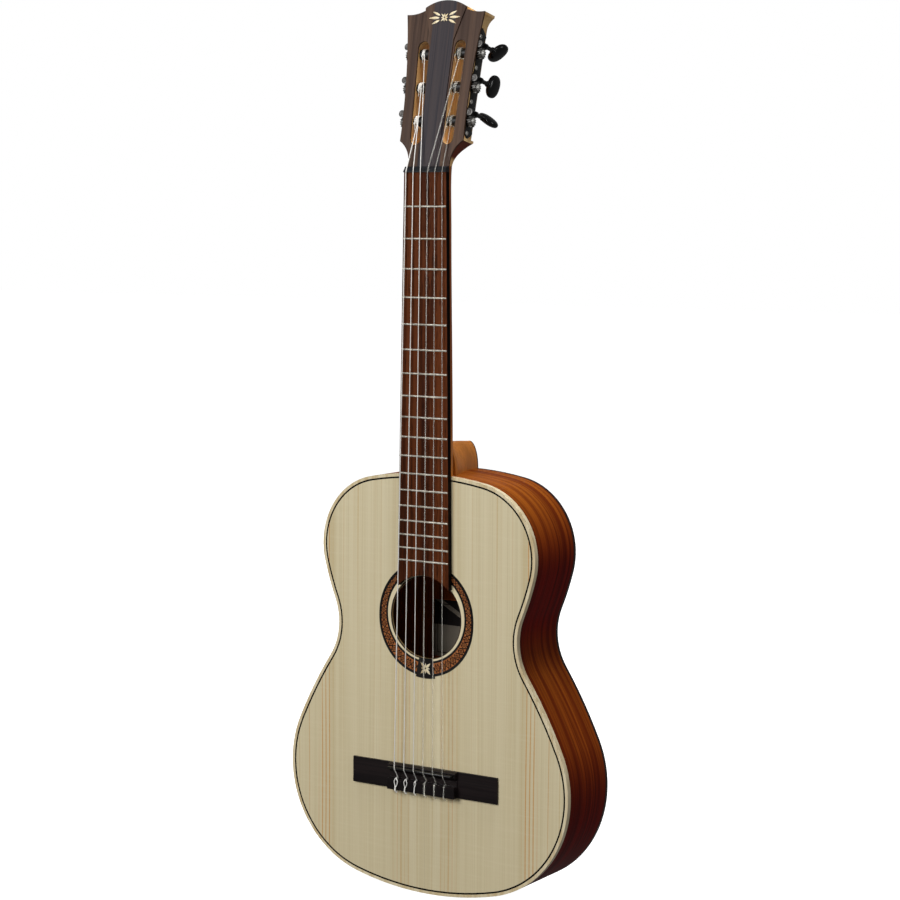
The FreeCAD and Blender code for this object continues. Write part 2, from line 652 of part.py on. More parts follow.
def make_head():
    slots = [slot_tool(side) for name, side in SIDES]
    beyond = primitive("Box", at(-CLEAR, size("nut_back_line"), -CLEAR), Length=2 * CLEAR,
                       Width=CLEAR, Height=2 * CLEAR)
    plate = new_body(HEAD)
    feature(plate, "Pad", head_sketch(plate, "-plate_thickness"),
            "Sizes.plate_thickness - Sizes.wing_drop")
    panel = new_sketch(plate, offset="-plate_thickness")
    inner = size("slot_width") / 2 + size("panel_margin")
    add_derived("panel_low_half", size("slot_low_half") - inner)
    add_derived("panel_high_half", size("slot_high_half") - inner)
    right = (("panel_low_half", "head_low_line"), ("panel_high_half", "slot_high_line"),
             ("notch_half", "notch_line"), ("notch_half", "crown_line"))
    add_profile(panel, right + tuple(("-" + x, y) for x, y in reversed(right)),
                {3: "crown_radius"})
    feature(plate, "Pad", panel, "plate_thickness")
    node(common(cut(plate, *slots), beyond), "headplate")

    core = new_body(HEAD)
    feature(core, "Pad", head_sketch(core, "-head_thickness"),
            "Sizes.head_thickness - Sizes.plate_thickness")
    start = size("nut_back_line")
    throat = loft([ellipse_across(start + step, size("board_nut_half") + wider, depth)
                   for step, wider, depth in THROAT_SECTIONS])
    throat_end = start + THROAT_SECTIONS[-1][0] - 0.1
    upper = primitive("Box", at(-CLEAR, throat_end, -CLEAR), Length=2 * CLEAR, Width=CLEAR,
                      Height=2 * CLEAR)
    blank = common(core, fuse(throat, upper))
    bores, seats = [], []
    seat_mid = (size("seat_low_line") + size("seat_high_line")) / 2
    seat_length = size("seat_high_line") - size("seat_low_line")
    for name, side in SIDES:
        seat = seat_frame(side, seat_mid) * Placement(
            Vector(0 if side > 0 else -20, -seat_length / 2, -30), Rotation())
        seats.append(primitive("Box", seat, Length=20.0, Width=seat_length, Height=60.0))
        ramp = seat_frame(side, size("seat_high_line")) * Placement(
            Vector(side * size("seat_ramp_radius"), 0, -30), Rotation())
        seats.append(primitive("Cylinder", ramp, Radius="seat_ramp_radius", Height=60.0))
        for line in MACHINE_LINES:
            inner = outward(seat_frame(side, line), side) * Placement(
                Vector(0, 0, -size("roller_length") - 0.3), Rotation())
            bores.append(primitive("Cylinder", inner,
                                   Radius="Sizes.roller_radius + Sizes.bore_clearance",
                                   Height="Sizes.roller_length + 5"))
    return blank, slots, seats, bores


# ---------------------------------------------------------------- tuning machines
def make_plate(name, side, screws):
    """One long side plate: scalloped strip, bored for three posts, with two lugs to a machine."""
    pieces, holes = [], []
    thread = size("worm_turns") * THREAD_PITCH / 2 + size("lug_gap")
    lugs = ((thread, "front_lug_length"), (-thread - size("rear_lug_length"), "rear_lug_length"))
    drop = size("plate_drop") * side
    for line in MACHINE_LINES:
        seat = seat_frame(side, line)
        out = outward(seat, side)
        disc = out * Placement(Vector(drop, WORM_REACH / 2, 0), Rotation())
        pieces.append(primitive("Cylinder", disc, Radius="plate_disc_radius",
                                Height="metal_thickness"))
        axle = seat * Placement(Vector(side * size("gear_offset"), WORM_REACH, 0), Rotation())
        for start, length in lugs:
            lug = axle * Placement(Vector(0, 0, start), Rotation())
            pieces.append(primitive("Cylinder", lug, Radius="lug_radius", Height=length))
            web = axle * Placement(Vector(-size("gear_offset") if side > 0 else 0,
                                          -size("lug_radius"), start), Rotation())
            pieces.append(primitive("Box", web, Length="gear_offset",
                                    Width="2 * Sizes.lug_radius", Height=length))
        holes.append(primitive("Cylinder", axle * Placement(Vector(0, 0, -12), Rotation()),
                               Radius="Sizes.journal_radius + Sizes.running_clearance",
                               Height=24.0))
        holes.append(primitive("Cylinder", out * Placement(Vector(0, 0, -5), Rotation()),
                               Radius="Sizes.post_radius + Sizes.running_clearance", Height=20.0))
    middle = outward(seat_frame(side, MACHINE_LINES[1]), side)
    low = -size("roller_pitch") - size("plate_low_overhang")
    high = size("roller_pitch") + size("plate_high_overhang")
    pieces.append(primitive("Box", middle * Placement(
        Vector(drop - size("plate_strip_half"), low, 0), Rotation()),
        Length="2 * Sizes.plate_strip_half", Width=high - low, Height="metal_thickness"))
    for end in (low, high):
        pieces.append(primitive("Cylinder", middle * Placement(Vector(drop, end, 0), Rotation()),
                                Radius="plate_strip_half", Height="metal_thickness"))
    return node(cut(fuse(*pieces), *(holes + screws)), "tuner_plate_" + name)


def make_screws(side):
    """The wood screws that hold one plate, each a low head on a plain shank."""
    screws = []
    for step in SCREW_STEPS:
        line = MACHINE_LINES[0] + step * size("roller_pitch") + WORM_REACH / 2 - SCREW_SHIFT
        seat = outward(seat_frame(side, line), side)
        head = primitive("Cylinder", seat * Placement(
            Vector(0, 0, size("metal_thickness") - 0.3), Rotation()),
            Radius="screw_head_radius", Height="screw_head_height")
        shank = primitive("Cylinder", seat * Placement(
            Vector(0, 0, size("metal_thickness") - size("screw_length")), Rotation()),
            Radius="screw_shank_radius", Height="screw_length")
        screws.append(fuse(head, shank))
    return screws


def make_gear(place):
    """The toothed wheel on a roller's post, drawn with a gap between teeth facing +Y."""
    body = new_body(place)
    add_derived("gear_root", size("gear_module") * size("gear_teeth") / 2
                     - size("tooth_dedendum"))
    add_derived("gear_tip", size("gear_module") * size("gear_teeth") / 2
                     + size("tooth_addendum"))
    add_derived("half_tooth_base", size("tooth_base") / 2)
    add_derived("half_tooth_tip", size("tooth_tip") / 2)
    add_derived("tooth_foot", size("gear_root") - 0.6)
    disc = new_sketch(body)
    add_circle(disc, "zero", "zero", "gear_root")
    add_circle(disc, "zero", "zero", "post_radius")
    feature(body, "Pad", disc, "gear_width", midplane=True)
    tooth = new_sketch(body)
    tooth.AttachmentOffset = Placement(Vector(), Rotation(Vector(0, 0, 1),
                                                          180 / size("gear_teeth")))
    add_profile(tooth, (("-half_tooth_base", "tooth_foot"), ("half_tooth_base", "tooth_foot"),
                        ("half_tooth_base", "gear_root"), ("half_tooth_tip", "gear_tip"),
                        ("-half_tooth_tip", "gear_tip"), ("-half_tooth_base", "gear_root")))
    pad = feature(body, "Pad", tooth, "gear_width", midplane=True)
    pattern = body.newObject("PartDesign::PolarPattern", "Teeth")
    pattern.Originals = [pad]
    axis = [item for item in body.Origin.OriginFeatures if item.Role == "Z_Axis"][0]
    pattern.Axis = (axis, [""])
    pattern.Angle = 360
    pattern.Occurrences = size("gear_teeth")
    body.Tip = pattern
    return body


def make_worm(place):
    """The screw that drives a gear: a helical thread between two journals, with its stem."""
    add_derived("worm_root", size("worm_pitch_radius") - size("tooth_dedendum"))
    add_derived("worm_tip", size("worm_pitch_radius") + size("tooth_addendum"))
    add_derived("thread_foot", size("worm_root") - 0.3)
    half_length = size("worm_turns") * THREAD_PITCH / 2
    add_derived("thread_half", half_length)
    add_derived("thread_low", half_length + size("half_tooth_base"))
    add_derived("thread_low_tip", half_length + size("half_tooth_tip"))
    add_derived("thread_high", half_length - size("half_tooth_base"))
    add_derived("thread_high_tip", half_length - size("half_tooth_tip"))
    # an odd number of turns starts away from the gear, so that a crest meets it at mid-length
    facing = 90 if size("worm_turns") % 2 else -90
    body = new_body(place * Placement(Vector(), Rotation(Vector(0, 0, 1), facing)))
    core = new_sketch(body)
    add_circle(core, "zero", "zero", "worm_root")
    feature(body, "Pad", core, "2 * Sizes.thread_half", midplane=True)
    profile = new_sketch(body, "XZ_Plane")
    add_profile(profile, (("thread_foot", "-thread_low"), ("worm_root", "-thread_low"),
                          ("worm_tip", "-thread_low_tip"), ("worm_tip", "-thread_high_tip"),
                          ("worm_root", "-thread_high"), ("thread_foot", "-thread_high")))
    thread = body.newObject("PartDesign::AdditiveHelix", "Thread")
    thread.Profile = profile
    thread.ReferenceAxis = (profile, ["V_Axis"])
    thread.Mode = 0
    thread.Pitch = THREAD_PITCH
    thread.Height = size("worm_turns") * THREAD_PITCH
    thread.Angle = 0
    profile.Visibility = False
    low = place * Placement(Vector(0, 0, -half_length), Rotation())
    high = place * Placement(Vector(0, 0, half_length), Rotation())
    front = cylinder(high, Vector(0, 0, 1), "journal_radius", "front_journal_length")
    rear = cylinder(low, Vector(0, 0, -1), "journal_radius", "journal_length")
    stem = cylinder(low * Placement(Vector(0, 0, -size("journal_length")), Rotation()),
                    Vector(0, 0, -1), "stem_radius", "stem_length")
    limit = primitive("Box", place * Placement(Vector(-5, -5, -half_length), Rotation()),
                      Length=10.0, Width=10.0, Height="2 * Sizes.thread_half")
    return fuse(common(body, limit), front, rear, stem)


def make_knob(place, turn, stem):
    """The oval button on a worm's stem, with the collar that grips it."""
    spin = place * Placement(Vector(), Rotation(Vector(0, 0, 1), turn))
    button = primitive("Ellipsoid", spin, Radius1="knob_half_length", Radius2="knob_half_width",
                       Radius3="knob_half_thickness")
    start = size("knob_half_length") - size("collar_lap")
    collar = cylinder(place * Placement(Vector(0, 0, start), Rotation()), Vector(0, 0, 1),
                      "collar_radius", "collar_length")
    return cut(fuse(button, collar), stem)


def make_machines(blank, slots, seats, bores):
    """Plates, screws and the six worm-and-gear machines; the head is bored to take them."""
    all_screws = []
    for name, side in SIDES:
        screws = make_screws(side)
        make_plate(name, side, screws)
        all_screws += screws
        for number, line in enumerate(MACHINE_LINES, start=1):
            seat = seat_frame(side, line)
            out = outward(seat, side)
            machine = "%s_%d" % (name, number)
            inner = out * Placement(Vector(0, 0, -size("roller_length")), Rotation())
            barrel = primitive("Cylinder", inner, Radius="roller_radius",
                               Height="Sizes.roller_length - Sizes.bore_clearance")
            post = primitive("Cylinder", out * Placement(Vector(0, 0, -0.5), Rotation()),
                             Radius="post_radius", Height="Sizes.post_length + 0.5")
            eye = primitive("Cylinder", out * Placement(
                Vector(0, 8, -size("seat_low_half") + 16.6), Rotation(Vector(1, 0, 0), 90)),
                Radius="string_hole_radius", Height=16.0)
            node(cut(fuse(barrel, post), eye), "roller_" + machine)
            gear_place = out * Placement(Vector(0, 0, size("gear_offset")), Rotation())
            node(make_gear(gear_place), "gear_" + machine)
            worm_place = seat * Placement(
                Vector(side * size("gear_offset"), WORM_REACH, 0), Rotation())
            worm = node(make_worm(worm_place), "worm_" + machine)
            knob_drop = size("knob_depth") - size("roller_depth")
            knob_place = worm_place * Placement(Vector(0, 0, -knob_drop), Rotation())
            turn = KNOB_TURNS[name][number - 1]
            node(make_knob(knob_place, turn, worm), "knob_" + machine)
    node(cut(blank, *(slots + seats + bores + all_screws)), "headstock")
    node(group(all_screws), "plate_screws")


# ---------------------------------------------------------------- strings
def tube(points, bends, width):
    """A round string along straight runs joined by tangent arcs."""
    edges = []
    start = points[0]
    for i, bend in enumerate(bends, start=1):
        before = (points[i] - points[i - 1]).normalize()
        after = (points[i + 1] - points[i]).normalize()
        half_turn = before.getAngle(after) / 2
        reach = bend * math.tan(half_turn)
        enter = points[i] - before * reach
        leave = points[i] + after * reach
        inward = (after - before).normalize()
        middle = points[i] + inward * (bend / math.cos(half_turn) - bend)
        edges += [Part.LineSegment(start, enter).toShape(),
                  Part.Arc(enter, middle, leave).toShape()]
        start = leave
    edges.append(Part.LineSegment(start, points[-1]).toShape())
    section = Part.Wire(Part.Circle(points[0], points[1] - points[0], width / 2).toShape())
    path = Part.Wire(edges)
    return path.makePipeShell([section], True, False)


def make_strings():
    """Each string from its roller over nut and saddle into the tie block."""
    order = (0, 1, 2, 2, 1, 0)
    for number, (label, width) in enumerate(STRINGS.items()):
        side = -1 if number < 3 else 1
        line = MACHINE_LINES[order[number]]
        rest = size("roller_radius") + width / 2 + size("string_roller_gap")
        share = (line - size("slot_low_line")) / (size("slot_high_line") - size("slot_low_line"))
        across = size("slot_low_half") + share * (size("slot_high_half") - size("slot_low_half"))
        on_roller = STAND.inverse() * HEAD * Placement(
            Vector(side * across, line, -size("roller_depth") + rest), Rotation())
        x_nut = string_offsets("nut_spacing")[number]
        x_saddle = string_offsets("saddle_spacing")[number]
        crown = Vector(x_nut, size("nut_crown_line"),
                       size("string_nut_height") + width / 2 + size("string_nut_gap"))
        crest = Vector(x_saddle, size("saddle_line"),
                       size("string_saddle_height") + width / 2 + size("string_saddle_gap"))
        mouth = Vector(x_saddle, size("valley_low") + 0.6, size("tie_hole_height"))
        end = Vector(x_saddle, size("bridge_low") + 0.5, size("tie_hole_height"))
        shape = tube([on_roller.Base, crown, crest, mouth, end], STRING_BENDS, width)
        item = doc.addObject("Part::Feature", "String")
        item.Shape = shape
        item.Placement = STAND
        node(item, label)


# ---------------------------------------------------------------- build and write
make_soundboard()
make_rim()
make_inside()
make_neck(make_nut())
make_fingerboard()
make_bridge()
make_machines(*make_head())
make_strings()
doc.recompute()

broken = [item.Name + " " + item.Label for item in doc.Objects
          if "Invalid" in item.State or "Error" in item.State]
if broken:
    raise RuntimeError("failed: " + ", ".join(broken))
os.makedirs("parts", exist_ok=True)
for item in NODES:
    if item.Shape.isNull() or not item.Shape.isValid():
        raise RuntimeError("bad shape: " + item.Label)
    print("%-20s solids %2d volume %10.1f" % (item.Label, len(item.Shape.Solids),
                                              item.Shape.Volume))
    item.Shape.exportStep("parts/%s.step" % item.Label)
print(len(NODES), "sub-parts")
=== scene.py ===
import math

import bmesh
import bpy
from mathutils import Matrix, Vector


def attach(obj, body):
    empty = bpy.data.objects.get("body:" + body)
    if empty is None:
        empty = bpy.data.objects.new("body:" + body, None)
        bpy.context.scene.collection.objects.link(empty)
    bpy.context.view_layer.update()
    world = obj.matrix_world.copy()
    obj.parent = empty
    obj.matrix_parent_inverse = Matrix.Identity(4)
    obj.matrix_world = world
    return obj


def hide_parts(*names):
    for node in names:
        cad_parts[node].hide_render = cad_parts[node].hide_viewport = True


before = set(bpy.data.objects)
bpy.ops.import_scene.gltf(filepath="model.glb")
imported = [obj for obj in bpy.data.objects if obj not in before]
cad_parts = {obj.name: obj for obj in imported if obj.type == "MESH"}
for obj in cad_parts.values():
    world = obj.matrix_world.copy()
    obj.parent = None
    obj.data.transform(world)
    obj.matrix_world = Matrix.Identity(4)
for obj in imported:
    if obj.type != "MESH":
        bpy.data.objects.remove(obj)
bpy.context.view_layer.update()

# Looks for a three-quarter size classical guitar, upright in the shared frame: X across with the
# treble side positive, -Y out of the soundboard, Z up the neck.  Lengths are in millimetres, which
# MM turns to metres, except in materials, which are in metres.  PLAN takes drawing coordinates
# (across, along the neck from the tail, out of the soundboard) to the shared frame, and HEAD takes
# those on the headplate's face, measured from the nut line.

MM = 0.001

# ---- sizes shared with the CAD
SETBACK = 33.0
BINDING_DEPTH = 5.5
BACK_BINDING = 73.5
SIDE_THICKNESS = 2.2
NUT_LINE = 705.7
HEAD_LIFT = 2.5
HEAD_TILT = math.radians(11.25)
HOLE_LINE = 274.9
ROLLER_DEPTH = 9.0
ROLLER_RADIUS = 4.9
SADDLE_SPACING = 11.2
STRINGS = (("string_e_low", 1.10), ("string_a", 0.90), ("string_d", 0.75),
           ("string_g", 1.02), ("string_b", 0.82), ("string_e_high", 0.71))
ARC_RADII = (323.0, 107.5, 470.0, 61.5, 290.0, 71.5, 350.0)
ARC_HEIGHTS = (114.4, -35.0, 261.0, 395.0, 339.5)
WAIST = 3

PLAN = Matrix.Translation((0, -SETBACK * MM, 0)) @ Matrix.Rotation(math.pi / 2, 4, "X")
HEAD = (PLAN @ Matrix.Translation((0, NUT_LINE * MM, HEAD_LIFT * MM))
        @ Matrix.Rotation(-HEAD_TILT, 4, "X"))


def mm(x, y, z):
    """A vector given in millimetres."""
    return Vector((x, y, z)) * MM


def plan(x, along, height):
    """A point of the plan drawing, in millimetres, as a point of the shared frame."""
    return PLAN @ mm(x, along, height)


def spun(angle):
    """A turn about Z, in radians."""
    return Matrix.Rotation(angle, 4, "Z")


def shifted(x, y, z):
    """A translation given in millimetres."""
    return Matrix.Translation(mm(x, y, z))


# ---- shader building
class Shader:
    """A material with one Principled shader, and short ways to add the nodes that feed it."""

    def __init__(self, name, rough=0.4, spec=0.5, metal=0.0, coat=0.0, coat_rough=0.1):
        self.material = bpy.data.materials.new(name)
        self.material.use_nodes = True
        self.nodes = self.material.node_tree.nodes
        self.links = self.material.node_tree.links
        self.surface = self.nodes["Principled BSDF"]
        self.set("Roughness", rough)
        self.set("Specular IOR Level", spec)
        self.set("Metallic", metal)
        self.set("Coat Weight", coat)
        self.set("Coat Roughness", coat_rough)

    def set(self, socket, value):
        """Put a value or another node's output on one of the shader's own sockets."""
        self.plug(self.surface.inputs[socket], value)

    def plug(self, target, value):
        """Link a socket to another node's output, or give it a plain value."""
        if isinstance(value, bpy.types.NodeSocket):
            self.links.new(value, target)
        elif isinstance(value, (tuple, list)) and len(value) == 3 and target.type == "RGBA":
            target.default_value = (*value, 1.0)
        else:
            target.default_value = value

    def paint(self, tone):
        """Give the surface its colour, and hand over the finished material."""
        self.set("Base Color", tone)
        return self.material

    def place(self):
        """Object coordinates, in metres."""
        return self.nodes.new("ShaderNodeTexCoord").outputs["Object"]

    def uv(self, name):
        """Coordinates of a named UV map."""
        node = self.nodes.new("ShaderNodeUVMap")
        node.uv_map = name
        return node.outputs["UV"]

    def normal(self):
        """The surface's direction."""
        return self.nodes.new("ShaderNodeNewGeometry").outputs["Normal"]

    def mapped(self, vector, scale=(1, 1, 1), turn=(0, 0, 0), shift=(0, 0, 0)):
        """Coordinates scaled, turned and moved."""
        node = self.nodes.new("ShaderNodeMapping")
        self.plug(node.inputs["Vector"], vector)
        node.inputs["Scale"].default_value = scale
        node.inputs["Rotation"].default_value = turn
        node.inputs["Location"].default_value = shift
        return node.outputs["Vector"]

    def split(self, vector):
        """The X, Y and Z of a vector."""
        node = self.nodes.new("ShaderNodeSeparateXYZ")
        self.plug(node.inputs["Vector"], vector)
        return node.outputs

    def join(self, x, y, z):
        """A vector from its X, Y and Z."""
        node = self.nodes.new("ShaderNodeCombineXYZ")
        for socket, value in zip(node.inputs, (x, y, z)):
            self.plug(socket, value)
        return node.outputs["Vector"]

    def noise(self, vector, detail=3.0, rough=0.5, warp=0.0):
        """Cloudy noise from 0 to 1."""
        node = self.nodes.new("ShaderNodeTexNoise")
        self.plug(node.inputs["Vector"], vector)
        node.inputs["Scale"].default_value = 1.0
        node.inputs["Detail"].default_value = detail
        node.inputs["Roughness"].default_value = rough
        node.inputs["Distortion"].default_value = warp
        return node.outputs["Fac"]

    def cloud(self, density, detail=3.0, rough=0.5, warp=0.0):
        """Noise laid over the object's own coordinates, so many to the metre each way."""
        return self.noise(self.mapped(self.place(), density), detail, rough, warp)

    def cells(self, density):
        """Distance to the nearest of many points scattered through the object."""
        node = self.nodes.new("ShaderNodeTexVoronoi")
        self.plug(node.inputs["Vector"], self.mapped(self.place(), density))
        node.inputs["Scale"].default_value = 1.0
        return node.outputs["Distance"]

    def math(self, kind, first, second=0.0):
        """One arithmetic step."""
        node = self.nodes.new("ShaderNodeMath")
        node.operation = kind
        self.plug(node.inputs[0], first)
        self.plug(node.inputs[1], second)
        return node.outputs["Value"]

    def times(self, first, second):
        """The product of two values."""
        return self.math("MULTIPLY", first, second)

    def plus(self, first, second):
        """The sum of two values."""
        return self.math("ADD", first, second)

    def less(self, first, second):
        """The first value less the second."""
        return self.math("SUBTRACT", first, second)

    def size_of(self, value):
        """A value without its sign."""
        return self.math("ABSOLUTE", value)

    def ramp(self, value, low, high, out_low=0.0, out_high=1.0):
        """A value's smooth step from one range to another, held at both ends."""
        node = self.nodes.new("ShaderNodeMapRange")
        node.clamp = True
        node.interpolation_type = "SMOOTHSTEP"
        for socket, item in zip(node.inputs, (value, low, high, out_low, out_high)):
            self.plug(socket, item)
        return node.outputs["Result"]

    def band(self, value, low, high, soft):
        """One inside a range of a value, falling softly to nothing outside it."""
        rise = self.ramp(value, low - soft, low + soft)
        return self.times(rise, self.ramp(value, high - soft, high + soft, 1.0, 0.0))

    def mix(self, share, first, second):
        """The first colour giving way to the second as the share goes from 0 to 1."""
        node = self.nodes.new("ShaderNodeMix")
        node.data_type = "RGBA"
        colours = [socket for socket in node.inputs if socket.type == "RGBA"]
        for socket, value in zip([node.inputs["Factor"]] + colours, (share, first, second)):
            self.plug(socket, value)
        return next(socket for socket in node.outputs if socket.type == "RGBA")

    def bump(self, height, strength, distance):
        """Fine relief from a height value."""
        node = self.nodes.new("ShaderNodeBump")
        node.inputs["Strength"].default_value = strength
        node.inputs["Distance"].default_value = distance
        self.plug(node.inputs["Height"], height)
        self.set("Normal", node.outputs["Normal"])


def rgb(red, green, blue):
    """A colour's 0 to 255 display values as the linear values shaders take."""
    return tuple(((c / 255 + 0.055) / 1.055) ** 2.4 if c > 10 else c / 255 / 12.92
                 for c in (red, green, blue))


def wood(name, light, dark, streak, turn=(0, 0, 0), fine=1.0, pores=0.5, rough=0.45, coat=0.0,
         spec=0.3, vector=None, figure=1.0):
    """Straight-grained timber: broad streaks, fine lines and short open pores along local Z.

    Its colour and two of its noises stay on the shader as tone, broad and lines."""
    s = Shader(name, rough=rough, spec=spec, coat=coat, coat_rough=0.12)
    spot = s.mapped(vector(s) if vector else s.place(), turn=turn)
    s.broad = s.noise(s.mapped(spot, (45 * figure, 45 * figure, 2.2)), 4.0, 0.6, 0.4)
    s.lines = s.noise(s.mapped(spot, (420 * fine, 420 * fine, 5.0)), 3.0, 0.65)
    fleck = s.noise(s.mapped(spot, (1500 * fine, 1500 * fine, 70.0)), 2.0, 0.5)
    tone = s.mix(s.ramp(s.broad, 0.36, 0.66), light, dark)
    tone = s.mix(s.times(s.ramp(s.lines, 0.45, 0.75), 0.75), tone, streak)
    pore = s.times(s.ramp(fleck, 0.58, 0.72), pores)
    s.tone = s.mix(pore, tone, tuple(c * 0.25 for c in dark))
    s.set("Base Color", s.tone)
    s.set("Roughness", s.ramp(s.lines, 0.3, 0.8, rough - 0.06, rough + 0.1))
    s.bump(s.less(s.times(s.lines, 0.4), pore), 0.25, 0.00015)
    return s


def head_place(s):
    """Object coordinates measured on the headplate's face."""
    return s.mapped(s.mapped(s.place(), shift=tuple(-HEAD.translation)),
                    turn=(-(math.pi / 2 - HEAD_TILT), 0, 0))


# The ring round the sound hole, in metres.  Its outer rim also runs round a lower centre and its
# inner rim round a higher one, so the band between them widens towards the plaque.
PALE_RING = rgb(226, 212, 176)
RING_OUTER, RING_DROP = 0.0549, 0.0032
RING_INNER, RING_RISE = 0.0446, 0.0017
OUTER_BLACK = (0.0026, 0.0029)
INNER_BLACK = (0.0021, 0.0024)
HOLE_RIM = (0.0410, 0.0413)
RIM_BLUR = 0.0001
# The knotwork: waves round the ring, and their swing against half the band's width.
KNOT_TURNS = 46.0
KNOT_SWING = 2.3
HALF_BAND = 4.95


def from_hole(s, x, z):
    """Distance from the middle of the sound hole, in metres."""
    up = s.less(z, HOLE_LINE * MM)
    return s.math("SQRT", s.plus(s.times(x, x), s.times(up, up)))


def knotwork(s, turn, step):
    """Two crossing wavy strands, with an eye in each loop; step runs across the band."""
    run = s.times(turn, KNOT_TURNS)
    wave = s.math("SINE", s.plus(run, s.times(s.math("SINE", run), 0.6)))
    swing = s.times(wave, KNOT_SWING)
    nearest = s.math("MINIMUM", s.size_of(s.less(step, swing)), s.size_of(s.plus(step, swing)))
    strand = s.ramp(nearest, 0.6, 1.0, 1.0, 0.0)
    core = s.ramp(s.size_of(step), 0.4, 0.8, 1.0, 0.0)
    eye = s.times(core, s.ramp(s.size_of(wave), 0.75, 0.95))
    return s.math("MAXIMUM", strand, eye)


def ring_pattern(s, x, z):
    """Two black rings round an orange band of knotwork.

    Gives the colour, and the distances in from the inner and outer rims, in metres."""
    nearer = s.math("MINIMUM", from_hole(s, x, z), from_hole(s, x, s.plus(z, RING_DROP)))
    outside = s.less(RING_OUTER, nearer)
    inside = s.less(from_hole(s, x, s.less(z, RING_RISE)), RING_INNER)
    share = s.math("DIVIDE", s.less(inside, outside), s.plus(inside, outside))
    turn = s.math("ARCTAN2", x, s.less(z, HOLE_LINE * MM))
    grain = s.cloud((700, 700, 700), 3.0)
    tone = s.mix(s.ramp(grain, 0.3, 0.7), rgb(180, 108, 58), rgb(136, 76, 40))
    tone = s.mix(knotwork(s, turn, s.times(share, HALF_BAND)), tone, rgb(24, 8, 4))
    fleck = s.ramp(s.cells((900, 900, 900)), 0.15, 0.3, 0.5, 0.0)
    tone = s.mix(fleck, tone, rgb(224, 176, 112))
    rim = s.math("MAXIMUM", s.ramp(outside, *OUTER_BLACK, 1.0, 0.0),
                 s.ramp(inside, *INNER_BLACK, 1.0, 0.0))
    return s.mix(rim, tone, s.mix(grain, rgb(5, 4, 4), rgb(12, 10, 9))), inside, outside


# The spruce's darker lines, in metres from the joint: their pitch, then the start, end and fade of
# each group.  JOINT_LINE and SHOW_FACE are the glue line and the board's outer face.
LINE_PITCH = 0.0044
EDGE_LINES = (0.112, 0.129, 0.003)
LONE_LINE = (0.1403, 0.1411, 0.0005)
INNER_LINES = (0.017, 0.036, 0.004)
JOINT_LINE = (0.0001, 0.0004)
SHOW_FACE = (-0.0322, -0.0318)


def dark_lines(s, across, z):
    """Share of the darker growth lines: a comb near each edge, a lone line and faint inner ones."""
    beat = s.math("SINE", s.times(across, 2 * math.pi / LINE_PITCH))
    comb = s.times(s.ramp(beat, 0.55, 0.95), s.band(across, *EDGE_LINES))
    inner = s.times(s.ramp(beat, 0.4, 0.95), s.band(across, *INNER_LINES))
    strong = s.times(s.math("MAXIMUM", comb, s.band(across, *LONE_LINE)), 0.85)
    patchy = s.noise(s.join(s.times(across, 200.0), 2.0, s.times(z, 5.0)), 1.0)
    return s.times(s.plus(strong, s.times(inner, 0.42)), s.ramp(patchy, 0.3, 0.6))


def spruce_grain(s, across, z):
    """Cream timber with fine lines, growth rings and broad changes of tone."""
    upright = s.times(z, 0.9)
    fine = s.noise(s.join(s.times(across, 1000.0), 0.0, upright), 2.0, 0.6)
    rings = s.noise(s.join(s.times(across, 420.0), 4.0, upright), 2.0, 0.5)
    broad = s.noise(s.join(s.times(across, 60.0), 9.0, upright), 3.0, 0.6)
    tone = s.mix(s.ramp(broad, 0.3, 0.7), rgb(222, 210, 176), rgb(206, 191, 152))
    tone = s.mix(s.times(s.ramp(fine, 0.42, 0.7), 0.35), tone, rgb(188, 168, 122))
    tone = s.mix(s.times(s.ramp(rings, 0.55, 0.72), 0.4), tone, rgb(196, 164, 108))
    s.bump(fine, 0.1, 0.0001)
    return s.mix(dark_lines(s, across, z), tone, rgb(196, 138, 72))


def spruce_top():
    """Bookmatched spruce, its lines mirrored about the centre joint, with a pale hole ring."""
    s = Shader("spruce", rough=0.5, spec=0.25, coat=0.1, coat_rough=0.35)
    x, y, z = s.split(s.place())
    half = s.size_of(x)
    sway = s.noise(s.join(s.times(half, 9.0), 0.0, s.times(z, 2.5)), 1.0)
    tone = spruce_grain(s, s.plus(half, s.times(s.less(sway, 0.5), 0.005)), z)
    ripple = s.cloud((26, 26, 420), 2.0, 0.5)
    tone = s.mix(s.times(s.ramp(ripple, 0.45, 0.75), 0.1), tone, rgb(232, 222, 194))
    tone = s.mix(s.ramp(half, *JOINT_LINE, 0.35, 0.0), tone, rgb(150, 122, 78))
    ring, inside, outside = ring_pattern(s, x, z)
    tone = s.mix(s.ramp(outside, -RIM_BLUR, RIM_BLUR), tone, ring)
    tone = s.mix(s.ramp(inside, -RIM_BLUR, RIM_BLUR, 1.0, 0.0), tone, PALE_RING)
    tone = s.mix(s.ramp(from_hole(s, x, z), *HOLE_RIM, 1.0, 0.0), tone, rgb(40, 26, 18))
    tone = s.mix(s.ramp(y, *SHOW_FACE), tone, rgb(190, 160, 112))
    return s.paint(tone)


def rosette():
    """The inlaid ring, and a little of the pale ring where its inner rim rises."""
    s = Shader("rosette", rough=0.4, spec=0.15, coat=0.08, coat_rough=0.2)
    x, y, z = s.split(s.place())
    tone, inside, outside = ring_pattern(s, x, z)
    return s.paint(s.mix(s.ramp(inside, -RIM_BLUR, RIM_BLUR), PALE_RING, tone))


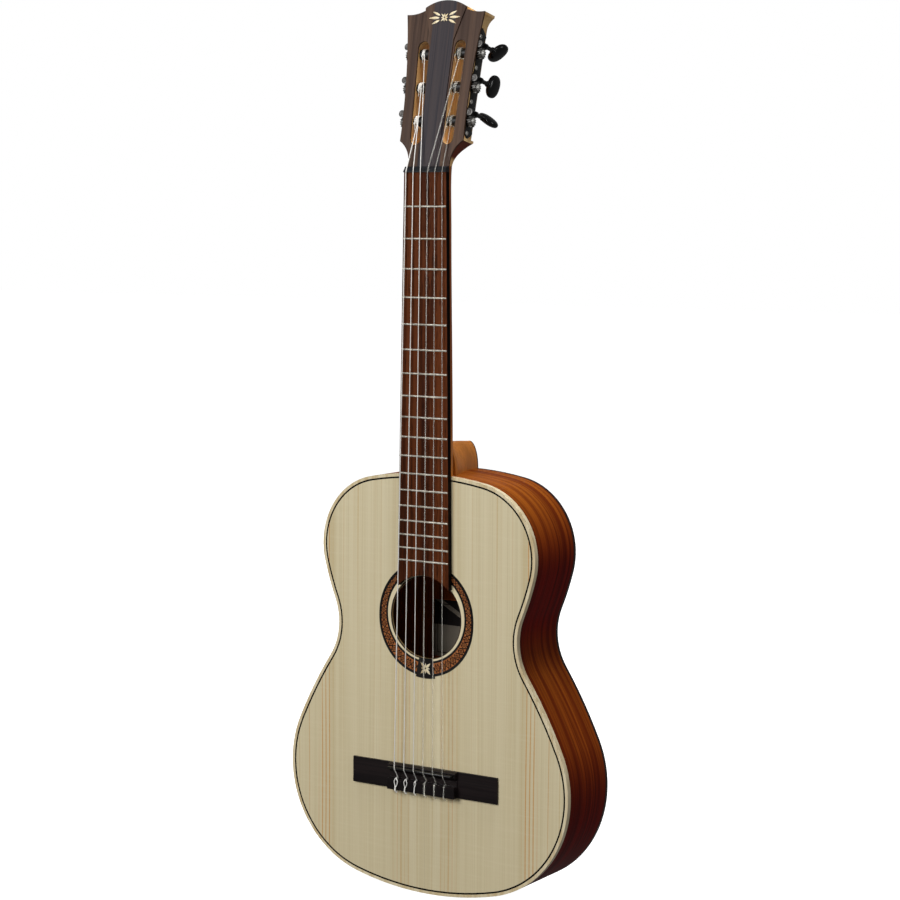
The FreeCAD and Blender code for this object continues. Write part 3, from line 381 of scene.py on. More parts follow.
def striped(name, light, dark, rough, coat, density=(260, 260, 6), spec=0.3):
    """A hard material with faint streaks, which run up the instrument unless told otherwise."""
    s = Shader(name, rough=rough, spec=spec, coat=coat, coat_rough=0.1)
    streak = s.cloud(density, 3.0, 0.6)
    blotch = s.cloud((18, 18, 18), 2.0)
    tone = s.mix(s.ramp(streak, 0.35, 0.7), light, dark)
    tone = s.mix(s.times(s.ramp(blotch, 0.4, 0.7), 0.25), tone, dark)
    s.set("Roughness", s.ramp(streak, 0.3, 0.7, rough * 0.85, rough * 1.2))
    s.bump(streak, 0.12, 0.00008)
    return s.paint(tone)


def metal(name, tone, worn, rough, metallic, scratch=(900, 900, 90)):
    """Plated or polished metal with fine scratches and handled patches."""
    s = Shader(name, rough=rough, metal=metallic)
    lines = s.cloud(scratch, 3.0, 0.6)
    wear = s.cloud((160, 160, 160), 3.0, 0.6)
    s.set("Roughness", s.ramp(lines, 0.3, 0.75, rough * 0.75, rough * 1.3))
    s.bump(lines, 0.08, 0.00005)
    return s.paint(s.mix(s.ramp(wear, 0.45, 0.7), tone, worn))


WIRE_PITCH = 0.0005


def wound_wire():
    """Silvered winding: tight turns round the string, bright on each crest, with painted shade
    greying the grooves between them.
    """
    s = Shader("bass_string", rough=0.35, metal=0.2, spec=0.8)
    x, y, z = s.split(s.place())
    along = s.plus(z, s.times(s.plus(x, y), 0.6))
    turns = s.math("SINE", s.times(along, 2 * math.pi / WIRE_PITCH))
    wear = s.cloud((60, 60, 60), 2.0)
    tone = s.mix(s.ramp(wear, 0.4, 0.7), rgb(255, 253, 248), rgb(244, 241, 234))
    s.bump(turns, 0.12, 0.0001)
    # Painted shade: the grooves between the turns are greyed.
    return s.paint(s.mix(s.ramp(turns, -1.0, -0.2, 0.2, 0.0), tone, rgb(150, 144, 136)))


def clear_nylon():
    """Clear nylon: it lets most light through, with faint drawing lines."""
    s = Shader("treble_string", rough=0.1, spec=0.2)
    lines = s.cloud((2500, 2500, 40), 2.0)
    s.set("Transmission Weight", 0.8)
    s.set("IOR", 1.3)
    s.bump(lines, 0.05, 0.00005)
    return s.paint(s.mix(lines, rgb(250, 249, 244), rgb(240, 238, 230)))


def side_wood(hand):
    """Mahogany bent round the box, with painted light: its colour turns golden where its faces turn
    up and stays deep red below.

    Its grain follows the bend through the UV map."""
    def laid(s):
        run = s.split(s.uv("grain"))
        return s.join(run["Y"], 0.4 * hand, run["X"])
    s = wood("side_wood_%d" % hand, rgb(116, 12, 1), rgb(82, 6, 1), rgb(42, 3, 1), pores=0.4,
             rough=0.45, coat=0.05, spec=0.04, vector=laid, figure=3.4)
    # Painted light: faces turned up get a golden copy of the wood, and those facing sideways or
    # down stay deep red.
    lift = s.split(s.normal())["Z"]
    golden = s.mix(s.ramp(s.broad, 0.42, 0.6), rgb(150, 80, 20), rgb(106, 43, 7))
    golden = s.mix(s.times(s.ramp(s.lines, 0.4, 0.7), 0.55), golden, rgb(84, 30, 6))
    return s.paint(s.mix(s.ramp(lift, -0.35, 0.95), s.tone, golden))


def back_wood():
    """Two glossy mahogany halves, mirrored about the centre joint."""
    def laid(s):
        x, y, z = s.split(s.place())
        return s.join(s.size_of(x), 0.2, z)
    s = wood("back_wood", rgb(172, 88, 28), rgb(120, 44, 12), rgb(70, 18, 4), pores=0.5,
             rough=0.35, coat=0.5, vector=laid, figure=1.3)
    x, y, z = s.split(s.place())
    seam = s.ramp(s.size_of(x), 0.0003, 0.0007, 0.8, 0.0)
    s.set("Coat Roughness", 0.08)
    return s.paint(s.mix(seam, s.tone, rgb(60, 24, 12)))


def headplate_wood():
    """Dark veneer, cooler over the raised middle panel than on the wings."""
    s = wood("headplate_wood", rgb(90, 66, 50), rgb(60, 41, 31), rgb(36, 22, 15), rough=0.5,
             spec=0.2, pores=0.3, vector=head_place, turn=(math.pi / 2, 0, 0), figure=1.8)
    x, y, z = s.split(head_place(s))
    middle = s.ramp(s.size_of(x), 0.0118, 0.0134, 1.0, 0.0)
    panel = s.mix(0.7, s.tone, rgb(32, 38, 50))
    return s.paint(s.mix(middle, s.tone, panel))


def head_timber():
    """Golden head wood, browner on its rear face, with painted shade: its down-facing faces where
    it runs into the neck are deep red.
    """
    s = wood("head_timber", rgb(255, 216, 156), rgb(240, 192, 126), rgb(206, 150, 90), rough=0.42,
             pores=0.3, vector=head_place, turn=(math.pi / 2, 0, 0), figure=1.5)
    x, y, z = s.split(head_place(s))
    lift = s.split(s.normal())["Z"]
    low = s.ramp(y, 0.0315, 0.0325, 1.0, 0.0)
    # Painted shade: the down-facing faces near the neck are coloured deep red.
    under = s.times(low, s.ramp(lift, -0.3, -0.12, 1.0, 0.0))
    rear = s.ramp(z, -0.0198, -0.0194, 1.0, 0.0)
    tone = s.mix(s.times(rear, 0.85), s.tone, rgb(150, 78, 28))
    return s.paint(s.mix(under, tone, s.mix(0.98, s.tone, rgb(104, 30, 8))))


def neck_wood():
    """Satin mahogany, lighter and more golden at the heel."""
    s = wood("neck_wood", rgb(186, 106, 40), rgb(140, 68, 22), rgb(96, 38, 10), rough=0.36,
             pores=0.45, coat=0.2, spec=0.2, figure=1.4)
    x, y, z = s.split(s.place())
    heel = s.ramp(z, 0.44, 0.47, 0.45, 0.0)
    return s.paint(s.mix(heel, s.tone, rgb(214, 140, 56)))


def board_wood():
    """Brown streaked fingerboard with near-black edges."""
    s = wood("board_wood", rgb(98, 49, 22), rgb(58, 25, 10), rgb(24, 9, 4), rough=0.5,
             spec=0.05, pores=0.8, figure=1.9, fine=0.7)
    x, y, z = s.split(s.normal())
    edge = s.ramp(s.size_of(x), 0.35, 0.6)
    return s.paint(s.mix(edge, s.tone, rgb(10, 5, 4)))


# The label, in metres: its middle, its border across and up, its header and its chevron.
LABEL_MIDDLE = 0.251
BORDER_SIDE = (0.0342, 0.0350)
BORDER_END = (0.0242, 0.0250)
PRINT_BLUR = 0.0002
HEADER_FOOT = (0.2545, 0.2550)
CHEVRON_FOOT = 0.259
CHEVRON_SLOPE = 0.55
CHEVRON_WIDTH = 0.005


def label_paper():
    """Aged paper with a plain printed border and a dark header that a pale chevron crosses."""
    s = Shader("label_paper", rough=0.9, spec=0.2)
    fibre = s.cloud((600, 600, 600), 4.0, 0.6)
    x, y, z = s.split(s.place())
    tone = s.mix(fibre, rgb(128, 120, 108), rgb(106, 98, 86))
    half = s.size_of(x)
    rise = s.size_of(s.less(z, LABEL_MIDDLE))
    edges = s.math("MAXIMUM", s.band(half, *BORDER_SIDE, PRINT_BLUR),
                   s.band(rise, *BORDER_END, PRINT_BLUR))
    inside = s.times(s.ramp(half, BORDER_SIDE[1], BORDER_SIDE[1] + PRINT_BLUR, 1.0, 0.0),
                     s.ramp(rise, BORDER_END[1], BORDER_END[1] + PRINT_BLUR, 1.0, 0.0))
    tone = s.mix(s.times(edges, inside), tone, rgb(40, 32, 26))
    peak = s.less(s.less(z, CHEVRON_FOOT), s.times(half, CHEVRON_SLOPE))
    chevron = s.band(peak, 0.0, CHEVRON_WIDTH, PRINT_BLUR)
    header = s.mix(chevron, rgb(24, 19, 17), tone)
    s.bump(fibre, 0.1, 0.0001)
    return s.paint(s.mix(s.ramp(z, *HEADER_FOOT), tone, header))


def black_lacquer(name, rough, coat):
    """Black lacquered metal with smoky, slightly greyer patches."""
    s = Shader(name, rough=rough, metal=0.35, spec=0.6, coat=coat, coat_rough=0.12)
    patch = s.cloud((240, 240, 240), 4.0, 0.6)
    s.set("Roughness", s.ramp(patch, 0.3, 0.7, rough * 0.8, rough * 1.3))
    s.bump(patch, 0.06, 0.00008)
    return s.paint(s.mix(s.ramp(patch, 0.35, 0.7), rgb(8, 8, 8), rgb(24, 22, 22)))


def knob_black():
    """Pressed black buttons, glossy, with a soft swirl in the moulding."""
    s = Shader("knob_black", rough=0.25, spec=0.4, coat=0.3, coat_rough=0.05)
    swirl = s.cloud((130, 130, 130), 3.0, 0.5, 1.2)
    s.set("Roughness", s.ramp(swirl, 0.3, 0.7, 0.14, 0.26))
    return s.paint(s.mix(s.ramp(swirl, 0.4, 0.7), rgb(4, 4, 5), rgb(12, 11, 12)))


def nut_black():
    """Dark composite nut with a satin sheen."""
    s = Shader("nut_black", rough=0.45, spec=0.3)
    grain = s.cloud((90, 500, 500), 3.0)
    s.bump(grain, 0.1, 0.00008)
    return s.paint(s.mix(s.ramp(grain, 0.35, 0.7), rgb(15, 16, 18), rgb(28, 29, 33)))


LOOKS = {
    "spruce": spruce_top(),
    "rosette": rosette(),
    "plaque": striped("plaque", rgb(8, 7, 7), rgb(20, 17, 16), 0.35, 0.15),
    "cream": striped("cream_binding", rgb(232, 218, 184), rgb(206, 184, 140), 0.28, 0.5),
    "purfling": striped("black_purfling", rgb(5, 4, 4), rgb(11, 9, 8), 0.5, 0.0, spec=0.1),
    "dark_binding": striped("dark_binding", rgb(44, 18, 10), rgb(20, 8, 5), 0.3, 0.3),
    "side_bass": side_wood(-1),
    "side_treble": side_wood(1),
    "back": back_wood(),
    "neck": neck_wood(),
    "head": head_timber(),
    "headplate": headplate_wood(),
    "board": board_wood(),
    "bridge": wood("bridge_wood", rgb(32, 25, 25), rgb(18, 13, 14), rgb(8, 5, 6), pores=0.4,
                   rough=0.34, spec=0.2, turn=(0, math.pi / 2, 0), figure=2.0).material,
    "saddle": striped("saddle_black", rgb(10, 10, 11), rgb(24, 23, 24), 0.3, 0.2,
                      density=(60, 400, 400)),
    "nut": nut_black(),
    "fret": metal("fret_wire", rgb(214, 208, 194), rgb(184, 176, 160), 0.25, 0.7,
                  scratch=(90, 900, 900)),
    "brace": wood("brace_spruce", rgb(206, 172, 120), rgb(184, 148, 96), rgb(150, 112, 66),
                  rough=0.7, turn=(0, math.pi / 2, 0)).material,
    "block": wood("block_wood", rgb(170, 126, 80), rgb(144, 100, 60), rgb(112, 72, 40),
                  rough=0.7).material,
    "lining": wood("lining_wood", rgb(184, 142, 92), rgb(158, 116, 70), rgb(122, 84, 48),
                   rough=0.7).material,
    "paper": label_paper(),
    "bass_string": wound_wire(),
    "treble_string": clear_nylon(),
    "machine": black_lacquer("machine_black", 0.3, 0.5),
    "worm": black_lacquer("worm_black", 0.28, 0.3),
    "roller": black_lacquer("roller_black", 0.4, 0.2),
    "knob": knob_black(),
    "cap": metal("cap_steel", rgb(88, 86, 84), rgb(52, 50, 49), 0.45, 0.6),
    "steel": metal("screw_steel", rgb(240, 238, 232), rgb(200, 197, 190), 0.3, 0.75),
    "gear": metal("gear_steel", rgb(120, 118, 115), rgb(70, 68, 66), 0.4, 0.8),
}


# ---- mesh helpers
def add_piece(name, bm, look, body="guitar", sharp=35.0):
    """Finish a mesh with smooth faces and true edges, name it and let it ride its body."""
    bmesh.ops.recalc_face_normals(bm, faces=bm.faces)
    for face in bm.faces:
        face.smooth = True
    for edge in bm.edges:
        if len(edge.link_faces) == 2 and edge.calc_face_angle() > math.radians(sharp):
            edge.smooth = False
    mesh = bpy.data.meshes.new(name)
    bm.to_mesh(mesh)
    bm.free()
    mesh.materials.append(LOOKS[look])
    item = bpy.data.objects.new(name, mesh)
    bpy.context.collection.objects.link(item)
    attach(item, body)
    return item


def skin(bm, rings, caps=True):
    """Faces between successive closed rings of points, with the first and last ring filled."""
    made = [[bm.verts.new(point) for point in ring] for ring in rings]
    count = len(made[0])
    for low, high in zip(made, made[1:]):
        for i in range(count):
            j = (i + 1) % count
            bm.faces.new((low[i], low[j], high[j], high[i]))
    if caps:
        bm.faces.new(made[0][::-1])
        bm.faces.new(made[-1])
    return made


def circle(sides):
    """Evenly spaced angles round a circle."""
    return [2 * math.pi * k / sides for k in range(sides)]


def lathe(bm, place, profile, sides):
    """A turned form: profile pairs of (radius, height) about the place's Z."""
    skin(bm, [[place @ mm(r * math.cos(a), r * math.sin(a), z) for a in circle(sides)]
              for r, z in profile])


STRAND_SIDES = 10


def tube(bm, points, radius):
    """A round strand through points of the shared frame, its radius in metres."""
    rings, across = [], None
    for i, point in enumerate(points):
        ahead = points[min(i + 1, len(points) - 1)] - points[max(i - 1, 0)]
        ahead.normalize()
        if across is None:
            across = ahead.orthogonal().normalized()
        across = (across - ahead * across.dot(ahead)).normalized()
        up = ahead.cross(across)
        rings.append([point + (across * math.cos(a) + up * math.sin(a)) * radius
                      for a in circle(STRAND_SIDES)])
    skin(bm, rings)


def smooth_path(points, steps):
    """A Catmull-Rom curve through points, with so many steps between neighbours."""
    ends = [points[0] * 2 - points[1]] + list(points) + [points[-1] * 2 - points[-2]]
    path = []
    for a, b, c, d in zip(ends, ends[1:], ends[2:], ends[3:]):
        for k in range(steps):
            t = k / steps
            path.append(0.5 * ((2 * b) + (c - a) * t + (2 * a - 5 * b + 4 * c - d) * t * t
                               + (3 * b - a - 3 * c + d) * t ** 3))
    path.append(points[-1])
    return path


# ---- sides of the box
OUTLINE_STEP = 2.5


def arc_centres():
    """Centres of the seven arcs of the treble half of the outline, each tangent to the last."""
    centres = [Vector((0, ARC_RADII[0]))]
    for i, height in enumerate(ARC_HEIGHTS, start=1):
        beside_waist = WAIST in (i - 1, i)
        last, this = ARC_RADII[i - 1], ARC_RADII[i]
        gap = last + this if beside_waist else abs(last - this)
        rise = height - centres[-1].y
        outward = 1 if i in (1, 3, 5) else -1
        centres.append(Vector((centres[-1].x + outward * math.sqrt(gap ** 2 - rise ** 2), height)))
    gap = ARC_RADII[6] - ARC_RADII[5]
    drop = math.sqrt(gap ** 2 - centres[-1].x ** 2)
    centres.append(Vector((0, centres[-1].y - drop)))
    return centres


def half_outline():
    """Points of the treble half from tail to neck: (point, outward normal, distance run), in mm."""
    centres = arc_centres()
    joints = [Vector((0, 0))]
    for i in range(6):
        towards = (centres[i + 1] - centres[i]).normalized()
        if WAIST not in (i, i + 1) and ARC_RADII[i] < ARC_RADII[i + 1]:
            towards = -towards
        joints.append(centres[i] + towards * ARC_RADII[i])
    joints.append(Vector((0, centres[6].y + ARC_RADII[6])))
    run, places = 0.0, []
    for i, (centre, radius) in enumerate(zip(centres, ARC_RADII)):
        first, last = (joints[k] - centre for k in (i, i + 1))
        sweep = -first.angle_signed(last)
        count = max(4, round(abs(sweep) * radius / OUTLINE_STEP))
        for k in range(count + (i == 6)):
            spoke = first.normalized()
            spoke.rotate(Matrix.Rotation(sweep * k / count, 2))
            places.append((centre + spoke * radius, -spoke if i == WAIST else spoke,
                           run + abs(sweep) * radius * k / count))
        run += abs(sweep) * radius
    return places


def side_ring(hand, point, outward):
    """The four corners of a side's section at one point of the outline."""
    ring = []
    for inset, depths in ((0.0, (BINDING_DEPTH, BACK_BINDING)),
                          (SIDE_THICKNESS, (BACK_BINDING, BINDING_DEPTH))):
        spot = point - outward * inset
        ring += [plan(hand * max(spot.x, 0.0), spot.y, -depth) for depth in depths]
    return ring


def make_side(name, hand):
    """One bent side, a shell with its grain running round the bend in the UV map."""
    bm = bmesh.new()
    grain = bm.loops.layers.uv.new("grain")
    outline = half_outline()
    made = skin(bm, [side_ring(hand, point, outward) for point, outward, run in outline])
    run_of = {vert: place[2] for ring, place in zip(made, outline) for vert in ring}
    for face in bm.faces:
        for loop in face.loops:
            loop[grain].uv = (run_of[loop.vert] * MM, loop.vert.co.y)
    panel = add_piece("side_panel_" + name, bm, "side_" + name)
    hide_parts("side_" + name)


# ---- tuning machines
SIDES = (("bass", -1), ("treble", 1))
SEAT_LOW_HALF = 33.0
SEAT_LOW_LINE = 34.0
SEAT_LEAN = math.atan2(4.0, 107.5)
MACHINE_LINES = (51.0, 84.0, 117.0)
MACHINE_PITCH = 33.0
GEAR_OFFSET = 4.7
GEAR_HALF_WIDTH = 1.7
WORM_REACH = 7.85
THREAD_HALF = 3.53
METAL = 1.2
PLATE_DROP = 2.0
KNOB_DROP = 28.5
KNOB_TURNS = {"treble_1": -30.0, "treble_2": 80.0, "treble_3": 42.0,
              "bass_1": 15.0, "bass_2": -55.0, "bass_3": 68.0}
KNOB_HALF_SIZES = (11.1, 4.2, 9.1)
# turned profiles, as (radius, height) pairs
FERRULE = ((2.2, 6.5), (3.0, 8.4), (2.9, 9.0), (2.3, 9.3), (2.3, 9.9), (2.9, 10.2), (3.0, 10.9),
           (2.6, 11.6), (2.15, 11.8))
WORM_CAP = ((2.6, 0.0), (3.4, 0.05), (3.45, 0.35), (3.2, 0.6), (2.3, 0.72), (2.1, 0.6),
            (1.2, 0.6), (1.0, 0.75), (0.05, 0.85))
# slotted heads: radius, height, half the slot's width, and its floor's share of the height
GEAR_SCREW = (3.1, 2.1, 0.38, 0.52)
PLATE_SCREW = (2.2, 1.1, 0.28, 0.35)
PLATE_SCREW_STEPS = (-0.42, 0.5, 1.5, 2.42)
# a worm's two lugs: their spans along it, round end, and foot on the plate
LUG_SPANS = ((THREAD_HALF + 0.2, THREAD_HALF + 2.2), (-THREAD_HALF - 3.0, -THREAD_HALF - 0.2))
LUG_RADIUS = 3.0
LUG_FOOT_HALF = 3.6
LUG_FOOT_REACH = 0.4
# a plate's rounded rim: distance out from the seat, and how far the edge is drawn in
PLATE_RIM = ((0.0, 0.0), (METAL - 0.35, 0.0), (METAL - 0.1, 0.12), (METAL, 0.4))
# a plate's bosses: distance along it from the first roller, half length and half width
BOSSES = ((-11.6, 3.6, 2.2), (84.0, 3.2, 2.0), (20.4, 5.0, 1.6), (53.4, 5.0, 1.6))
BOSS_RISE = 0.55
# a side plate along its length, measured from the first roller: reach to the front and the back
PLATE_START = ((-16.9, 0.2, 0.2), (-15.4, 1.8, 2.0), (-12.8, 4.6, 5.6), (-10.0, 6.2, 7.8),
               (-6.8, 4.5, 6.4), (-4.0, 5.4, 7.2))
PLATE_STATION = ((0.0, 7.2, 8.3), (3.9, 7.7, 8.6), (8.0, 7.2, 8.3), (12.5, 4.9, 7.4),
                 (16.0, 4.0, 7.0), (20.4, 3.7, 6.8), (25.0, 4.0, 7.0), (28.5, 5.0, 7.4))
PLATE_END = ((66.0, 7.2, 8.3), (69.9, 7.7, 8.6), (74.0, 7.0, 8.2), (77.5, 4.9, 6.6),
             (80.5, 5.2, 6.6), (83.8, 6.6, 8.2), (86.8, 4.7, 5.8), (89.4, 2.0, 2.2),
             (91.2, 0.2, 0.2))
PLATE_EDGES = PLATE_START + PLATE_STATION + tuple(
    (along + MACHINE_PITCH, front, back) for along, front, back in PLATE_STATION) + PLATE_END


def seat_half(line):
    """Half the width of the head across its two machine seats."""
    return SEAT_LOW_HALF + (line - SEAT_LOW_LINE) * math.tan(SEAT_LEAN)


def seat(side, line):
    """Frame of one machine on its seat: X across, Y up the seat, Z out of the headplate."""
    return (HEAD @ shifted(side * seat_half(line), line, -ROLLER_DEPTH)
            @ spun(-side * SEAT_LEAN))


def screw_seat(side, line, out, turn):
    """Frame of a screw whose head points away from the seat, turned about its own axis."""
    return (seat(side, line) @ Matrix.Rotation(side * math.pi / 2, 4, "Y") @ shifted(0, 0, out)
            @ spun(turn))


def seat_point(side, line, outward, along, out):
    """A point beside a machine: outward from the seat, along it, and towards the front."""
    return seat(side, line) @ mm(side * outward, along, out)


def plate_ring(side, edge, outward, inset):
    """The plate's outline at one distance from the seat, drawn in by the inset."""
    line = MACHINE_LINES[0]
    front = [seat_point(side, line, outward, p.x, max(p.y - inset, 0.1) - PLATE_DROP)
             for p in edge]
    back = [seat_point(side, line, outward, p.x, -max(p.z - inset, 0.1) - PLATE_DROP)
            for p in reversed(edge)]
    return front + back


def add_lugs(bm, side, line):
    """The two lugs that hold one worm."""
    sweep = [math.pi * (k / 14 - 0.5) for k in range(15)]
    profile = [(GEAR_OFFSET + LUG_RADIUS * math.cos(a), WORM_REACH + LUG_RADIUS * math.sin(a))
               for a in sweep]
    profile += [(LUG_FOOT_REACH, WORM_REACH + LUG_FOOT_HALF),
                (LUG_FOOT_REACH, WORM_REACH - LUG_FOOT_HALF)]
    for span in LUG_SPANS:
        skin(bm, [[seat_point(side, line, u, v, out) for u, v in profile] for out in span])


def make_plate(name, side):
    """A side plate with leaf ends and bellied stations, its rim rounded, and its worm lugs."""
    bm = bmesh.new()
    edge = smooth_path([Vector(place) for place in PLATE_EDGES], 4)
    made = skin(bm, [plate_ring(side, edge, *level) for level in PLATE_RIM], caps=False)
    half = len(edge)
    for ring in (made[0], made[-1]):
        for k in range(half - 1):
            bm.faces.new((ring[k], ring[k + 1], ring[2 * half - 2 - k], ring[2 * half - 1 - k]))
    for line in MACHINE_LINES:
        add_lugs(bm, side, line)
    for along, half_length, half_width in BOSSES:
        place = seat(side, MACHINE_LINES[0]) @ shifted(side * METAL, along, -PLATE_DROP)
        dome(bm, place, BOSS_RISE * side, half_length, half_width)
    plate = add_piece("side_plate_" + name, bm, "machine")
    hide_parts("tuner_plate_" + name)


def dome(bm, place, rise, along, across):
    """A low almond-shaped boss standing on a plate, rising along the place's X."""
    rings = []
    for k in range(6):
        tilt = math.pi / 2 * k / 5
        shrink = max(math.cos(tilt), 0.02)
        rings.append([place @ mm(rise * math.sin(tilt), along * math.cos(a) * shrink,
                                 across * math.sin(a) * shrink) for a in circle(24)])
    skin(bm, rings)


def squared(value, power):
    """A sine or cosine raised to a power with its sign kept, which squares off an oval."""
    return math.copysign(abs(value) ** power, value)


def make_knob(key, side, line):
    """An oval button with softly squared faces, and a ringed ferrule where the shaft enters."""
    place = (seat(side, line) @ shifted(side * GEAR_OFFSET, WORM_REACH, -KNOB_DROP)
             @ spun(math.radians(KNOB_TURNS[key])))
    wide, thick, tall = KNOB_HALF_SIZES
    bm = bmesh.new()
    rings = []
    for k in range(25):
        tilt = math.pi * (k / 24 - 0.5)
        level = squared(math.sin(tilt), 0.92) * tall
        swell = max(max(math.cos(tilt), 0.0) ** 0.82, 0.03)
        rings.append([place @ mm(squared(math.cos(a), 0.9) * wide * swell,
                                 squared(math.sin(a), 0.8) * thick * swell, level)
                      for a in circle(40)])
    skin(bm, rings)
    lathe(bm, place, FERRULE, 24)
    knob = add_piece("button_" + key, bm, "knob", "key_" + key, 60.0)
    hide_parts("knob_" + key)


def make_worm_cap(key, side, line):
    """The rivet-like end of a worm, in front of its lug."""
    place = seat(side, line) @ shifted(side * GEAR_OFFSET, WORM_REACH, THREAD_HALF + 2.2)
    bm = bmesh.new()
    lathe(bm, place, WORM_CAP, 28)
    add_piece("worm_cap_" + key, bm, "cap", "key_" + key)


def slotted_head(bm, place, radius, height, slot_half, floor):
    """A domed screw head on the place's Z, in two halves either side of a straight slot."""
    levels = [(radius, 0.0), (radius, height * 0.4)]
    for k in range(1, 7):
        share = k / 6
        r = radius * (1 - share) + slot_half * 1.3 * share
        levels.append((r, height * (0.4 + 0.6 * math.sqrt(1 - (r / radius) ** 2))))
    for hand in (1, -1):
        rings = []
        for r, level in levels:
            reach = math.acos(slot_half / r)
            angles = [reach * (k / 8 - 1) for k in range(17)]
            rings.append([place @ mm(hand * r * math.cos(a), r * math.sin(a), level)
                          for a in angles])
        skin(bm, rings)
    lathe(bm, place, ((radius * 0.97, 0.0), (radius * 0.97, height * floor)), 24)


def make_gear_screw(key, side, line, turn):
    """The slotted screw that holds a gear on its post."""
    bm = bmesh.new()
    place = screw_seat(side, line, GEAR_OFFSET + GEAR_HALF_WIDTH, turn)
    slotted_head(bm, place, *GEAR_SCREW)
    add_piece("gear_screw_" + key, bm, "steel", "roller_" + key, 30.0)


def make_plate_screws():
    """The slotted wood screws that hold both plates."""
    bm = bmesh.new()
    for name, side in SIDES:
        for i, step in enumerate(PLATE_SCREW_STEPS):
            line = MACHINE_LINES[0] + step * MACHINE_PITCH + WORM_REACH / 2 - 1.5
            slotted_head(bm, screw_seat(side, line, METAL - 0.2, 0.7 * i), *PLATE_SCREW)
    heads = add_piece("plate_screw_heads", bm, "steel", "guitar", 30.0)
    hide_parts("plate_screws")


# ---- strings
SLOT_LOW = (27.3, 18.4)
SLOT_HIGH = (128.9, 20.9)
ROLLER_ORDER = (1, 2, 3, 3, 2, 1)
WINDING_TURNS = 3.6
WINDING_STEPS = 24
WINDING_SPACING = 1.12
WINDING_CLEARANCE = 0.12
WINDING_START = 0.2
# the free tail after the last turn: outward, along and out from the roller
TAIL = ((-0.6, -2.2, 5.9), (-1.4, -5.4, 5.6), (-0.4, -8.6, 3.9))


def string_side(index):
    """The side a string is wound on, as in SIDES."""
    return -1 if index < 3 else 1


def string_look(index):
    """The name of a string's look, and of its slot."""
    return "bass_string" if index < 3 else "treble_string"


def winding_line(index):
    """The centre line of a string's turns round its roller, then of its short free tail."""
    width = STRINGS[index][1]
    side = string_side(index)
    line = MACHINE_LINES[ROLLER_ORDER[index] - 1]
    share = (line - SLOT_LOW[0]) / (SLOT_HIGH[0] - SLOT_LOW[0])
    across = SLOT_LOW[1] + share * (SLOT_HIGH[1] - SLOT_LOW[1])
    start = across - seat_half(line) - WINDING_START * side
    rest = ROLLER_RADIUS + width / 2 + WINDING_CLEARANCE
    pitch = -side * width * WINDING_SPACING
    points = []
    for k in range(int(WINDING_TURNS * WINDING_STEPS) + 1):
        a = math.pi / 2 - 2 * math.pi * k / WINDING_STEPS
        points.append(seat_point(side, line, start + k / WINDING_STEPS * pitch,
                                 rest * math.cos(a), rest * math.sin(a)))
    end = start + WINDING_TURNS * pitch
    tail = [seat_point(side, line, end + du, dv, dn) for du, dv, dn in TAIL]
    return points + smooth_path([points[-1]] + tail, 6)[1:]


def make_winding(index):
    """A string's turns round its roller, with a short free tail."""
    label, width = STRINGS[index]
    look = string_look(index)
    bm = bmesh.new()
    tube(bm, winding_line(index), width / 2 * MM)
    key = "%s_%d" % (look.split("_")[0], ROLLER_ORDER[index])
    add_piece("winding_" + label, bm, look, "roller_" + key, 70.0)


TIE_LOW = 101.5
TIE_TOP = 113.0
TIE_HEIGHT = 8.6
TWISTS = 5
# each string's loop over the tie block: half its width, and where it closes
LOOPS = ((1.9, 105.8), (1.8, 106.2), (1.0, 108.8), (0.7, 111.4), (0.65, 111.4), (0.6, 111.4))


def tie_strand(index, hand):
    """One strand of a knot: half the loop, the twist, then the way under or the free tip."""
    x = SADDLE_SPACING * (index - 2.5)
    r = STRINGS[index][1] / 2
    wide, loop_end = LOOPS[index]
    face = TIE_HEIGHT + r
    lean = 0.9 if index < 3 else 0.2
    strand = [(x, TIE_TOP + 1.2, 6.2),
              (x + hand * r, TIE_TOP + 0.5, face - 0.4),
              (x + hand * wide * 0.7, TIE_TOP - 1.2, face + 0.3),
              (x + hand * wide, (TIE_TOP + loop_end) / 2 + 0.6, face + 0.3),
              (x + hand * r * 1.2 - lean * 0.3, loop_end, face + 0.2)]
    for k in range(1, TWISTS + 1):
        share = k / TWISTS
        a = math.pi * k + (0 if hand > 0 else math.pi)
        strand.append((x - lean * (0.3 + 0.7 * share) + r * 1.1 * math.cos(a),
                       loop_end + (TIE_LOW - loop_end) * share,
                       face + 0.2 + r * 0.9 * (1 + math.sin(a + 0.6))))
    if hand > 0:
        strand += [(x - lean * 0.6, TIE_LOW - 0.9, face - 1.2), (x, TIE_LOW - 0.7, 5.6),
                   (x, TIE_LOW + 0.8, 5.2)]
    else:
        strand += [(x - lean + 0.9, TIE_LOW - 1.3, face + 0.4),
                   (x - lean + 2.2, TIE_LOW - 1.9, face - 0.5)]
    return [plan(*point) for point in strand]


def make_tie(index):
    """The knot at the bridge: a loop over the tie block's edge, then a twist down its face."""
    label, width = STRINGS[index]
    look = string_look(index)
    bm = bmesh.new()
    for hand in (-1, 1):
        tube(bm, smooth_path(tie_strand(index, hand), 7), width / 2 * MM)
    add_piece("tie_" + label, bm, look, "guitar", 70.0)


# ---- inlays
LEAF_SIDES = 14
LEAF_THICKNESS = 0.25
LEAF_POINT = 0.75
MOTIF_DROP = 50.2
MOTIF_PETALS = ((7.2, 2.6), (4.6, 1.5))
PETAL_GAP = 0.7
CROWN_LINE = 151.0
CROWN_REACH = 5.6
CROWN_PETALS = ((4.6, 1.7), (3.4, 1.2))
# the crown's leaves on one side: degrees from the middle line, length and width
CROWN_LEAVES = ((90, 12.5, 2.5), (66, 9.5, 2.3), (114, 9.5, 2.3))


